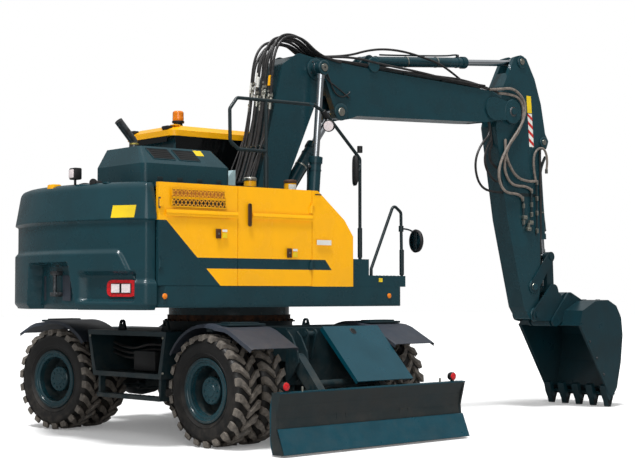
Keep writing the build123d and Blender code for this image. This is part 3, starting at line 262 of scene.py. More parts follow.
def make_finishes(colours):
    """Every finish once, named for the real material and how it was made."""
    p, c, b = tuple(colours.petrol), tuple(colours.chassis), tuple(colours.blade)
    made = {
        # two-pack paint sprayed on plate: smooth, half gloss, with a little orange peel. The peel is
        # 1 to 2 mm across and is drawn at 10 mm, so that it shows from a few metres.
        "petrol": finish("two_pack_paint_petrol", p, roughness=0.26, grain=10 * MM, depth=0.04 * MM, ior=1.45,
                         dust=0.06, dust_top=1.6),
        "panels": finish("two_pack_paint_two_tone", p, roughness=0.26, grain=10 * MM, depth=0.04 * MM,
                         ior=1.45, split=panel_split, second=tuple(colours.yellow)),
        # the same paint on the bucket, darkened all over as painted shade; its dust is real
        "bucket": finish("two_pack_paint_painted_shade", linear("#0C2D35"), linear("#0E272D"), roughness=0.34,
                         grain=8 * MM, depth=0.1 * MM, ior=1.45, dust=0.05, dust_top=0.8),
        # black ceramic band printed round the cab's panes
        "frit": finish("ceramic_frit_on_glass", linear("#07090A"), roughness=0.12, spread=0.04, grain=10 * MM,
                       depth=0.01 * MM, ior=1.5),
        # the same paint lightened: a painted highlight
        "pale": finish("two_pack_paint_pale", linear("#A9C6CB"), roughness=0.3, grain=10 * MM,
                       depth=0.04 * MM, ior=1.45),
        "yellow": finish("two_pack_paint_yellow", tuple(colours.yellow),
                         tuple(x * 0.9 for x in colours.yellow[:3]) + (1,),
                         roughness=0.26, grain=10 * MM, depth=0.04 * MM, ior=1.45),
        # thick single-coat paint on rough plate: duller, with dust from the ground
        "chassis": finish("single_coat_paint_chassis", c, roughness=0.42, grain=8 * MM, depth=0.1 * MM,
                          ior=1.5, dust=0.35, dust_top=1.1),
        "blade": finish("single_coat_paint_blade", b, roughness=0.32, grain=10 * MM, depth=0.08 * MM,
                        ior=1.45, dust=0.07, dust_top=0.7),
        # moulded polypropylene: even, faintly grained, dull sheen. Its 0.5 mm leather grain is drawn
        # at 3 mm.
        "guards": finish("moulded_polypropylene_guard", tuple(colours.guards), roughness=0.55, grain=3 * MM,
                         depth=0.15 * MM, ior=1.49, dust=0.25, dust_top=1.4),
        "plastic": finish("moulded_polypropylene_black", linear("#17181A"), roughness=0.5, grain=3 * MM,
                          depth=0.12 * MM, ior=1.49),
        # vulcanised tread rubber: matt, with pale dust worked into it
        "tyre": finish("vulcanised_rubber_tyre", tuple(colours.tyre), linear("#161514"), patch=120 * MM,
                       roughness=0.5, grain=4 * MM, depth=0.3 * MM, ior=1.5, dust=0.22, dust_top=0.8),
        # the lug faces' paler rubber is partly painted highlight from the light above and partly dust
        "tread": finish("vulcanised_rubber_tread_faces", linear("#4A4641"), linear("#736C64"), patch=45 * MM,
                        roughness=0.6, grain=4 * MM, depth=0.5 * MM, ior=1.5, dust=0.35, dust_top=1.3),
        # extruded hose cover: dark, slightly shiny from handling
        "hose": finish("extruded_hose_rubber", tuple(colours.hose), linear("#2A2828"), patch=60 * MM,
                       roughness=0.45, grain=2 * MM, depth=0.1 * MM, ior=1.52),
        # hose cover greyed by weather and wear
        "hose_grey": finish("weathered_hose_rubber", linear("#5F5852"), linear("#857A70"), patch=50 * MM,
                            roughness=0.55, grain=2 * MM, depth=0.1 * MM, ior=1.52),
        # moldboard paint: darker and greyer than the rest of the blade
        "moldboard": finish("single_coat_paint_dark_moldboard", linear("#1C292C"), linear("#262B2B"),
                            patch=250 * MM, roughness=0.4, grain=10 * MM, depth=0.08 * MM, ior=1.5, dust=0.1,
                            dust_top=0.6),
        # hardened cast steel, scuffed nearly black
        "tooth": finish("hardened_cast_steel_tooth", linear("#141A1D"), linear("#22282B"), patch=50 * MM,
                        roughness=0.5, metallic=0.5, grain=4 * MM, depth=0.3 * MM),
        # hard chrome over ground steel: bright and nearly smooth
        "chrome": finish("hard_chrome_plate", linear("#C9CED2"), linear("#B9BFC4"), roughness=0.16,
                         spread=0.05, metallic=1.0, grain=20 * MM, depth=0.01 * MM),
        # zinc plate on turned fittings: pale, a little cloudy
        "zinc": finish("zinc_plated_steel", linear("#C2C3BE"), linear("#A8A695"), patch=20 * MM,
                       roughness=0.34, metallic=1.0, grain=2 * MM, depth=0.04 * MM),
        "passivated": finish("yellow_passivated_zinc", linear("#D9C96A"), linear("#B7A65C"), patch=20 * MM,
                             roughness=0.4, metallic=0.8, grain=2 * MM, depth=0.04 * MM),
        # forged and worn steel: dark scale with bright rubbed places
        "worn": finish("forged_steel_worn", linear("#3A3F42"), linear("#75777A"), patch=60 * MM,
                       roughness=0.45, spread=0.15, metallic=0.85, grain=4 * MM, depth=0.3 * MM),
        # turned steel left bare: brown rust film over grey
        "rust": finish("turned_steel_rusted", linear("#6B4630"), linear("#35302D"), patch=70 * MM,
                       roughness=0.75, metallic=0.35, grain=4 * MM, depth=0.3 * MM),
        # sand-cast iron, painted thin: rough grain shows through
        "iron": finish("sand_cast_iron", linear("#2D3133"), roughness=0.65, metallic=0.4, grain=5 * MM,
                       depth=0.5 * MM),
        "steel_black": finish("powder_coated_steel_dark", linear("#122428"), roughness=0.38, grain=3 * MM,
                              depth=0.06 * MM, ior=1.5),
        "exhaust": finish("aluminised_steel_heat_dulled", linear("#7E8489"), linear("#5C5A58"), patch=50 * MM,
                          roughness=0.38, metallic=1.0, grain=4 * MM, depth=0.1 * MM),
        # woven and moulded cab trim: dark and matt. The cloth's 1 mm weave is drawn at 2.5 mm.
        "interior": finish("moulded_cab_trim", linear("#24272A"), roughness=0.7, grain=2 * MM, depth=0.2 * MM,
                           ior=1.5),
        "seat": finish("woven_seat_cloth", linear("#1C2026"), linear("#2C3138"), patch=10 * MM, roughness=0.9,
                       grain=2.5 * MM, depth=0.4 * MM),
        # near-black sheets in slots, holes, pockets and pipe ends: painted shade where only shade would show
        "inside": finish("painted_cavity_shade", linear("#0A0D0E"), roughness=0.8, grain=10 * MM, depth=0.1 * MM),
        # printed vinyl plates, left blank
        "label_white": finish("vinyl_film_white", linear("#E6E6E0"), linear("#D5D5CF"), roughness=0.4,
                              grain=10 * MM, depth=0.02 * MM, ior=1.5),
        "label_yellow": finish("vinyl_film_yellow", linear("#E9C81C"), roughness=0.4, grain=10 * MM,
                               depth=0.02 * MM, ior=1.5),
        "stripe_red": finish("reflective_film_red", linear("#C4231C"), roughness=0.35, grain=10 * MM,
                             depth=0.02 * MM, ior=1.5),
        "brown": finish("moulded_nylon_brown", linear("#4A2C14"), roughness=0.5, grain=3 * MM, depth=0.1 * MM,
                        ior=1.53),
        # pressed and plated expanded mesh behind the grille; the panel behind it is a darker amber, painted
        # shade
        "mesh_lit": finish("expanded_mesh_painted_amber", linear("#E9A21A"), linear("#C27F0E"), patch=30 * MM,
                           roughness=0.5, grain=10 * MM, depth=0.1 * MM, ior=1.5),
        "grille_back_shade": finish("pressed_panel_amber_painted_shade", linear("#B0660C"), roughness=0.6, grain=10 * MM,
                            depth=0.1 * MM, ior=1.5),
        # moulded acrylic lamp lenses
        "red": finish("moulded_acrylic_red", linear("#D01B22"), linear("#A3121A"), patch=20 * MM,
                      roughness=0.15, spread=0.04, grain=6 * MM, depth=0.3 * MM, ior=1.49, coat=0.5),
        "amber": finish("moulded_acrylic_amber", linear("#F08A12"), linear("#D9700A"), patch=20 * MM,
                        roughness=0.15, spread=0.04, grain=6 * MM, depth=0.3 * MM, ior=1.49, coat=0.5),
        "lens": finish("moulded_acrylic_clear", linear("#E8DCDC"), linear("#CFC6C8"), patch=20 * MM,
                       roughness=0.12, spread=0.04, grain=6 * MM, depth=0.3 * MM, ior=1.49, coat=0.5),
        "mirror": finish("silvered_mirror_glass", linear("#C8D0D6"), roughness=0.04, spread=0.02,
                         metallic=1.0, grain=50 * MM, depth=0.01 * MM),
        "glass": glass_finish("tinted_safety_glass", linear("#0C1416")),
    }
    FINISHES.update(made)


# ---------------------------------------------------------------- mesh building
class Shape:
    """A mesh gathered from simple forms in one local frame, each form with its own finish."""

    def __init__(self, place=UPPER):
        self.mesh = bmesh.new()
        self.place = place
        self.names = []
        self.now = 0
        self.smooth = False

    def use(self, name, smooth=False):
        """Give the forms that follow this finish and shading."""
        if name not in self.names:
            self.names.append(name)
        self.now, self.smooth = self.names.index(name), smooth
        return self

    def mark(self, faces):
        """Put the finish and shading in use on new faces."""
        for f in faces:
            f.material_index, f.smooth = self.now, self.smooth

    def loft(self, rings, close=True, caps=True):
        """Skin between rings of equally many points; close joins each ring's last point to its first."""
        rows = [[self.mesh.verts.new(p) for p in ring] for ring in rings]
        count, made = len(rows[0]), []
        for a, b in zip(rows, rows[1:]):
            for i in range(count if close else count - 1):
                j = (i + 1) % count
                made.append(self.mesh.faces.new((a[i], a[j], b[j], b[i])))
        if caps and close:
            made.append(self.mesh.faces.new(reversed(rows[0])))
            made.append(self.mesh.faces.new(rows[-1]))
        self.mark(made)
        return self

    def prism(self, corners, shift):
        """A flat outline pushed along shift."""
        shift = Vector(shift)
        return self.loft([[Vector(c) for c in corners], [Vector(c) + shift for c in corners]])

    def side(self, outline, y0, y1):
        """An X-Z outline between two Y positions."""
        return self.prism([(x, y0, z) for x, z in outline], (0, y1 - y0, 0))

    def block(self, low, high, rounding=0.0):
        """A box with its edges rounded off."""
        low, high = Vector(low), Vector(high)
        made = bmesh.ops.create_cube(self.mesh, size=1.0, matrix=Matrix.Translation((low + high) / 2)
                                     @ Matrix.Diagonal((*(high - low), 1.0)))["verts"]
        faces = {f for v in made for f in v.link_faces}
        self.mark(faces)
        if rounding:
            edges = list({e for v in made for e in v.link_edges})
            bmesh.ops.bevel(self.mesh, geom=edges, offset=rounding, segments=2, profile=0.5, affect="EDGES",
                            material=self.now)
        return self

    def turned(self, profile, centre, axis=(0, 0, 1), steps=24, start=0.0, end=math.tau):
        """Revolve (radius, along) pairs about an axis through centre."""
        axis, centre = Vector(axis).normalized(), Vector(centre)
        u = axis.orthogonal().normalized()
        v = axis.cross(u)
        full = end - start > math.tau - 1e-6
        rings = []
        for k in range(steps if full else steps + 1):
            t = start + (end - start) * k / steps
            out = u * math.cos(t) + v * math.sin(t)
            rings.append([self.mesh.verts.new(centre + out * r + axis * a) for r, a in profile])
        made = []
        for k in range(len(rings) if full else len(rings) - 1):
            a, b = rings[k], rings[(k + 1) % len(rings)]
            for i in range(len(profile) - 1):
                made.append(self.mesh.faces.new((a[i], a[i + 1], b[i + 1], b[i])))
        self.mark(made)
        return self

    def rod(self, start, end, radius, steps=16, lip=0.0):
        """A closed round bar with a small chamfer at both ends."""
        start, end = Vector(start), Vector(end)
        span = (end - start).length
        lip = lip or min(radius * 0.15, span * 0.2)
        return self.turned([(0.0001, 0), (radius - lip, 0), (radius, lip), (radius, span - lip),
                            (radius - lip, span), (0.0001, span)], start, end - start, steps)

    def bolt(self, centre, axis, radius, height=None):
        """A hexagon head on its washer."""
        height = height or radius * 0.9
        axis = Vector(axis).normalized()
        self.turned([(0.0001, 0), (radius * 1.25, 0), (radius * 1.25, height * 0.2), (0.0001, height * 0.2)],
                    centre, axis, 12)
        return self.turned([(radius, height * 0.2), (radius, height * 0.9), (radius * 0.85, height),
                            (0.0001, height)], centre, axis, 6)

    def tube(self, points, radius, sides=3, steps=8):
        """A round tube along the smooth curve that these points control."""
        curve = bpy.data.curves.new("run", "CURVE")
        curve.dimensions = "3D"
        curve.bevel_depth, curve.bevel_resolution, curve.resolution_u = radius, sides, steps
        curve.use_fill_caps = True
        spline = curve.splines.new("NURBS")
        spline.points.add(len(points) - 1)
        for control, point in zip(spline.points, points):
            control.co = (*point, 1.0)
        spline.order_u, spline.use_endpoint_u = 3, True
        holder = bpy.data.objects.new("run", curve)
        made = bpy.data.meshes.new_from_object(holder)
        before = len(self.mesh.faces)
        self.mesh.from_mesh(made)
        self.mesh.faces.ensure_lookup_table()
        self.mark(self.mesh.faces[before:])
        bpy.data.objects.remove(holder)
        bpy.data.curves.remove(curve)
        bpy.data.meshes.remove(made)
        return self

    def done(self, name, body=None, slot=None, angle=35.0, stands_for=()):
        """Turn the gathered forms into one piece of the object that rides on a body."""
        self.mesh.transform(self.place)
        bmesh.ops.recalc_face_normals(self.mesh, faces=self.mesh.faces)
        mesh = bpy.data.meshes.new(name)
        self.mesh.to_mesh(mesh)
        self.mesh.free()
        for n in self.names:
            mesh.materials.append(FINISHES[n])
        mesh.set_sharp_from_angle(angle=math.radians(angle))
        piece = bpy.data.objects.new(name, mesh)
        bpy.context.scene.collection.objects.link(piece)
        if body:
            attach(piece, body)
        if stands_for:
            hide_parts(*stands_for)
        return piece


def ring_of(count, radius, phase=0.0):
    """Points evenly round a circle."""
    return [(math.cos(phase + math.tau * k / count) * radius, math.sin(phase + math.tau * k / count) * radius)
            for k in range(count)]


def ease(value, low, high):
    """Zero below low, one above high, and a smooth rise between."""
    t = min(1.0, max(0.0, (value - low) / (high - low)))
    return t * t * (3 - 2 * t)


# ---------------------------------------------------------------- operators
class Piece:
    """What every operator here shares: undo, and the settings on the scene."""
    bl_options = {"REGISTER", "UNDO"}

    def execute(self, context):
        self.build(context.scene.excavator_sizes, context.scene.excavator_colours)
        return {"FINISHED"}


# The frame's parts by finish. A part that isn't named takes the finish of a name that its own starts with.
SURFACES = {
    "petrol": ("upper_frame", "rear_deck", "tank_block", "front_steps", "cab_shell", "cab_door", "boom_base",
               "boom_upper", "arm", "lift_barrels", "adjust_barrel", "arm_barrel", "bucket_barrel",
               "counterweight", "engine_hood", "rear_door_left"),
    "panels": ("front_side_panel", "pump_door_right", "rear_door_right"),
    "yellow": ("cab_roof",),
    # the bucket and its links take the darkened paint, which is painted shade
    "bucket": ("bucket", "quick_coupler", "bucket_link", "rocker"),
    "chassis": ("chassis_frame", "axles", "drive_line", "tool_bays", "blade_bracket", "knuckle",
                "steering_rod", "blade_arms", "rims_", "blade_barrels"),
    "blade": ("blade_cover_plate",),
    "moldboard": ("blade",),
    "guards": ("blade_end_mudguards",),
    "tyre": ("tyres_",),
    "chrome": ("lift_rods", "adjust_rod", "arm_rod", "bucket_rod", "blade_rods"),
    "steel_black": ("hand_rails", "fittings"),
    "rust": ("slew_ring",),
    "iron": ("engine",),
    "exhaust": ("exhaust",),
    "interior": ("cab_interior",),
    "glass": ("cab_glass", "cab_door_glass"),
}


class EXCAVATOR_OT_finishes(Piece, bpy.types.Operator):
    """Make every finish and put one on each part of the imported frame"""
    bl_idname = "excavator.finishes"
    bl_label = "Finishes"

    def build(self, sizes, colours):
        make_finishes(colours)
        exact = {n: f for f, names in SURFACES.items() for n in names if not n.endswith("_")}
        for key, thing in frame["nodes"].items():
            chosen = exact.get(key) or next(f for f, names in SURFACES.items()
                                            for n in names if key.startswith(n.rstrip("_")))
            thing.data.materials.clear()
            thing.data.materials.append(FINISHES[chosen])


class EXCAVATOR_OT_tyres(Piece, bpy.types.Operator):
    """Twin tyres with chevron lugs, sidewall rings and bead"""
    bl_idname = "excavator.tyres"
    bl_label = "Tyres"

    def build(self, sizes, colours):
        crown = 0.526 - sizes.lug_height
        half = [(0.300, 0.098), (0.318, 0.112), (0.335, 0.121), (0.341, 0.126), (0.347, 0.126),
                (0.352, 0.123), (0.385, 0.1335), (0.420, 0.1365), (0.428, 0.1372), (0.436, 0.1365),
                (0.455, 0.130), (0.474, 0.119), (crown - 0.012, 0.104), (crown - 0.004, 0.080),
                (crown, 0.040), (crown, 0.0)]
        outline = half + [(r, -y) for r, y in reversed(half[:-1])]
        wide = sizes.lug_width / 0.52 / 2
        for name, outward in WHEELS.items():
            place = wheel_frame("tyres_" + name, outward)
            shape = Shape(place)
            for middle in (-0.160, 0.160):
                shape.use("tyre", smooth=True)
                shape.turned([(0.264, -0.098)] + outline[::-1] + [(0.264, 0.098), (0.264, -0.098)],
                             (0, middle, 0), (0, 1, 0), 120)
                # lug faces in paler rubber: painted highlight from the light above, with dust
                shape.use("tread")
                for half_side in (-1, 1):
                    for k in range(22):
                        t = math.tau * (k + (0.25 if half_side > 0 else -0.25)) / 22
                        self.lug(shape, t, half_side, middle, crown, wide)
            shape.done("tread_" + name, "wheel_" + name, "tyre_rubber", 30, ("tyres_" + name,))

    @staticmethod
    def lug(shape, turn, half_side, middle, crown, wide):
        """One lug from the tyre's shoulder to just short of its centre line, leaning as it goes in."""
        rows = [(0.1372, 0.474, 0.462, 0.0, 0.62), (0.1374, 0.500, 0.468, 0.0, 0.70),
                (0.130, 0.519, 0.476, 0.0, 0.74), (0.112, 0.5255, 0.484, 0.01, 0.74),
                (0.078, 0.526, crown - 0.006, 0.05, 0.66), (0.040, 0.526, crown - 0.004, 0.13, 0.60),
                (0.004, 0.5255, crown - 0.004, 0.20, 0.56)]
        rings = []
        for y, top, foot, lead, share in rows:
            across = middle + half_side * y
            span, base = wide * share, wide * share * 1.16
            ring = []
            for r, a in ((foot, -base), (top - 0.003, -span), (top, -span * 0.90), (top, span * 0.90),
                         (top - 0.003, span), (foot, base)):
                t = turn + lead + a
                ring.append((math.cos(t) * r, across, math.sin(t) * r))
            rings.append(ring)
        shape.loft(rings)


class EXCAVATOR_OT_wheel_hubs(Piece, bpy.types.Operator):
    """Rim flanges, clamp bolts and hub studs on the four twin wheels"""
    bl_idname = "excavator.wheel_hubs"
    bl_label = "Wheel hubs"

    def build(self, sizes, colours):
        for name, outward in WHEELS.items():
            place = wheel_frame("tyres_" + name, outward)
            shape = Shape(place)
            shape.use("petrol", smooth=True)
            for middle in (-0.160, 0.160):
                for way in (-1, 1):
                    y = middle + way * 0.098
                    shape.turned([(0.266, y), (0.288, y + way * 0.001), (0.302, y + way * 0.004),
                                  (0.305, y + way * 0.010), (0.302, y + way * 0.016),
                                  (0.293, y + way * 0.018), (0.270, y + way * 0.012),
                                  (0.264, y + way * 0.004), (0.264, y)], (0, 0, 0), (0, 1, 0), 72)
            shape.turned([(0.264, 0.2615), (0.240, 0.2625), (0.2325, 0.256), (0.2315, 0.20)], (0, 0, 0),
                         (0, 1, 0), 72)
            shape.turned([(0.1305, 0.180), (0.1305, 0.196), (0.122, 0.204), (0.060, 0.204), (0.056, 0.209),
                          (0.0001, 0.209)], (0, 0, 0), (0, 1, 0), 48)
            for k in range(10):
                t = math.tau * k / 10
                shape.bolt((math.cos(t) * 0.092, 0.204, math.sin(t) * 0.092), (0, 1, 0),
                           sizes.bolt_radius * 0.7, 0.008)
            shape.use("zinc").turned([(0.006, 0.0), (0.006, 0.030), (0.004, 0.034), (0.0001, 0.034)],
                                     (0.250, 0.085, 0.0), (0, 1, 0), 8)
            shape.done("hub_" + name, "wheel_" + name, "chassis_paint", 30)


class EXCAVATOR_OT_mudguards(Piece, bpy.types.Operator):
    """Curved guards over the twin tyres, with their lips, brackets and steering knuckles"""
    bl_idname = "excavator.mudguards"
    bl_label = "Mudguards"

    def build(self, sizes, colours):
        s = Shape(CHASSIS)
        for side in (-1, 1):
            self.guard(s, 1, side * 0.655, side * 1.238, 1.091, 0.527, 148, 0.665)
        s.use("chassis").block((1.050, -1.17, 1.070), (1.132, 1.17, 1.118), 0.006)
        s.done("blade_end_guards", "chassis", "guard_plastic", 30, ("blade_end_mudguards",))
        for name, flap in (("right", 1), ("left", -1)):
            place = wheel_frame("tyres_steered_" + name, WHEELS["steered_" + name])
            pin = place.inverted() @ Vector(JOINTS["steer_" + name]["pos_m"])
            s = Shape(place)
            self.guard(s, flap, -0.290, 0.290, 0.0, 0.0, 139, 0.530)
            s.use("chassis")
            s.rod((pin.x, pin.y, -0.20), (pin.x, pin.y, 0.20), 0.085, 28, 0.012)
            s.rod((pin.x, pin.y, 0.0), (pin.x, -0.30, 0.0), 0.120, 32, 0.012)
            s.tube([(pin.x, pin.y, 0.17), (pin.x, pin.y, 0.50), (pin.x, pin.y + 0.10, 0.575),
                    (pin.x, -0.25, 0.585)], 0.030, 5)
            s.use("worn").bolt((pin.x, pin.y, 0.20), (0, 0, 1), 0.035, 0.016)
            s.done("steering_knuckle_" + name, "knuckle_" + name, "chassis_paint", 30, ("knuckle_" + name,))

    @staticmethod
    def guard(shape, flap, inner, outer, x, z, first, tip):
        """Sweep the guard's section along its side view: an arc from the angle first, then a flap to tip."""
        path = []
        for k in range(19):
            t = math.radians(first - (first - 74) * k / 18)
            path.append((math.cos(t) * 0.612, math.sin(t) * 0.612))
        path += [(0.30, 0.575), (0.36, 0.555), (tip - 0.045, 0.420 + (0.62 - tip + 0.045) * 0.53),
                 (tip, 0.395 + (0.665 - tip) * 0.55)]
        rings = []
        way = 1 if outer > inner else -1
        for k, (a, b) in enumerate(path):
            before, after = path[max(0, k - 1)], path[min(len(path) - 1, k + 1)]
            run = Vector((after[0] - before[0], after[1] - before[1])).normalized()
            up = Vector((-run.y, run.x)) if run.x > 0 else Vector((run.y, -run.x))
            ring = []
            for y, rise in ((inner, -0.03), (inner, 0.004), (inner + way * 0.02, 0.012),
                            (outer - way * 0.035, 0.012), (outer - way * 0.008, 0.004), (outer, -0.028),
                            (outer - way * 0.006, -0.028), (outer - way * 0.012, -0.002),
                            (outer - way * 0.035, 0.005), (inner + way * 0.02, 0.005),
                            (inner + way * 0.006, -0.002), (inner + way * 0.006, -0.03)):
                ring.append((x + flap * (a + up.x * rise), y, z + b + up.y * rise))
            rings.append(ring)
        shape.use("guards", smooth=True)
        shape.loft(rings)
        shape.use("chassis")
        low, high = sorted((inner + way * 0.05, outer - way * 0.08))
        for near, far, edge, foot, top, rounding in ((0.05, 0.27, 0.0, 0.600, 0.622, 0.006),
                                                     (0.09, 0.23, 0.05, 0.620, 0.634, 0.005)):
            left, right = sorted((flap * near, flap * far))
            shape.block((x + left, low + edge, z + foot), (x + right, high - edge, z + top), rounding)


class EXCAVATOR_OT_cover_plate(Piece, bpy.types.Operator):
    """Smooth hinged plate over the blade's lift gear"""
    bl_idname = "excavator.cover_plate"
    bl_label = "Blade cover plate"

    def build(self, sizes, colours):
        s = Shape(CHASSIS).use("blade")
        a, b = Vector((1.52, 0, 1.105)), Vector((2.00, 0, 0.600))
        fall = (b - a).normalized()
        out = Vector((-fall.z, 0, fall.x))
        out = out if out.x > 0 else -out
        y0, y1 = -0.13, 0.635
        corners = [a + Vector((0, y0, 0)), a + Vector((0, y1, 0)), b + Vector((0, y1, 0)),
                   b + Vector((0, y0, 0))]
        s.prism(corners, out * 0.012)
        for y in (y0, y1 - 0.012):
            edge = [a + Vector((0, y, 0)), b + Vector((0, y, 0)), b - out * 0.025 + Vector((0, y, 0)),
                    a - out * 0.035 + Vector((0, y, 0))]
            s.prism(edge, (0, 0.012, 0))
        s.use("chassis")
        for y in (0.06, 0.45):
            s.rod(a + Vector((-0.03, y - 0.09, -0.03)), a + Vector((-0.03, y + 0.09, -0.03)), 0.026, 20)
            s.block((a.x - 0.10, y - 0.05, a.z - 0.10), (a.x - 0.02, y + 0.05, a.z - 0.01), 0.01)
        # a near-black disc on the plate: painted shade of a hole, inside its worn ring
        s.use("inside").turned([(0.0001, 0), (0.032, 0), (0.032, 0.0015), (0.0001, 0.0015)],
                               a + fall * 0.07 + out * 0.0125 + Vector((0, 0.24, 0)), out, 24)
        s.use("worn").turned([(0.032, 0), (0.038, 0.001), (0.038, 0.003), (0.032, 0.004)],
                             a + fall * 0.07 + out * 0.0125 + Vector((0, 0.24, 0)), out, 24)
        s.done("lift_gear_cover", "blade_cover_plate", "blade_paint", 30, ("blade_cover_plate",))


class EXCAVATOR_OT_counterweight(Piece, bpy.types.Operator):
    """Cast counterweight with its creases, rounded corners, lamp pockets and towing recess"""
    bl_idname = "excavator.counterweight"
    bl_label = "Counterweight"

    RADIUS, FRONT, LOW, TOP = 2.186, -1.698, 1.279, 2.446

    def build(self, sizes, colours):
        shape = Shape().use("petrol", smooth=True)
        rows = [self.LOW + (self.TOP - self.LOW) * k / 92 for k in range(93)]
        half = self.plan()
        rings = []
        for z in rows:
            ring = []
            for x, y, nx, ny in half:
                d, top = self.inset(y, z), self.TOP - max(0.0, y - 0.98) * 0.41
                ring.append((x - nx * d, y - ny * d, min(z, top)))
            rings.append(ring)
        shape.loft(rings, close=False)
        for z_row in (rings[0], rings[-1]):
            shape.loft([z_row, [(self.FRONT, p[1], p[2]) for p in z_row]], close=False)
        for k in (0, -1):
            edge = [r[k] for r in rings]
            shape.loft([edge, [(self.FRONT, p[1], p[2]) for p in edge]], close=False)
        shape.use("petrol")
        front = [(self.FRONT, -1.17, self.LOW), (self.FRONT, 1.17, self.LOW), (self.FRONT, 1.17, 2.36),
                 (self.FRONT, 0.98, self.TOP), (self.FRONT, -1.17, self.TOP)]
        shape.prism([(x - 0.002, y, z) for x, y, z in front], (0.001, 0, 0))
        for y in (-1.253, 1.253):
            for z in (1.70, 2.25):
                shape.rod((-1.683, y, z - 0.05), (-1.683, y, z + 0.05), 0.010)
        shape.done("counterweight_casting", "upper", "petrol_paint", 40, ("counterweight",))

    def plan(self):
        """Points and outward normals round the back, with the corners to the side panels rounded."""
        points = []
        corner, side = 0.08, 1.235
        inner = self.RADIUS - corner
        turn = math.asin((side - corner) / inner)
        cx, cy = -math.cos(turn) * inner, math.sin(turn) * inner
        for k in range(6):
            x = self.FRONT + (cx - self.FRONT) * k / 6
            points.append((x, -side, 0.0, -1.0))
        for k in range(9):
            t = math.pi / 2 - (math.pi / 2 - turn) * k / 8
            points.append((cx - math.cos(t) * corner, -cy - math.sin(t) * corner, -math.cos(t), -math.sin(t)))
        for k in range(1, 200):
            t = -turn + 2 * turn * k / 200
            points.append((-math.cos(t) * self.RADIUS, math.sin(t) * self.RADIUS, -math.cos(t), math.sin(t)))
        mirrored = [(x, -y, nx, -ny) for x, y, nx, ny in reversed(points[:15])]
        return points + mirrored

    def inset(self, y, z):
        """How far the casting's face sits inside its plan at this height."""
        d = 0.045 * (1 - math.sqrt(max(0.0, 1 - max(0.0, (z - self.TOP + 0.06) / 0.06) ** 2)))
        d += 0.060 * max(0.0, (z - 2.10) / 0.346)
        sweep = ease(y, -1.15, -0.96)
        rib = 1.525 + (1.80 - 1.525) * sweep
        d += 0.030 * ease(z, rib - 0.010, rib + 0.035) * (1 - ease(z, 2.085, 2.105))
        d += 0.030 * (1 - ease(z, self.LOW, self.LOW + 0.05))
        lamp = (ease(y, -1.13, -1.11) * (1 - ease(y, -0.64, -0.52))
                * ease(z, 1.35, 1.38) * (1 - ease(z, 1.585, 1.64)))
        d += 0.075 * lamp
        lean = (1.72 - z) / 0.435
        left, right = -0.38 - 0.11 * lean, 0.26 + 0.05 * lean
        tow = ease(y, left - 0.03, left) * (1 - ease(y, right, right + 0.03)) * (1 - ease(z, 1.69, 1.72))
        d += 0.13 * tow
        return d


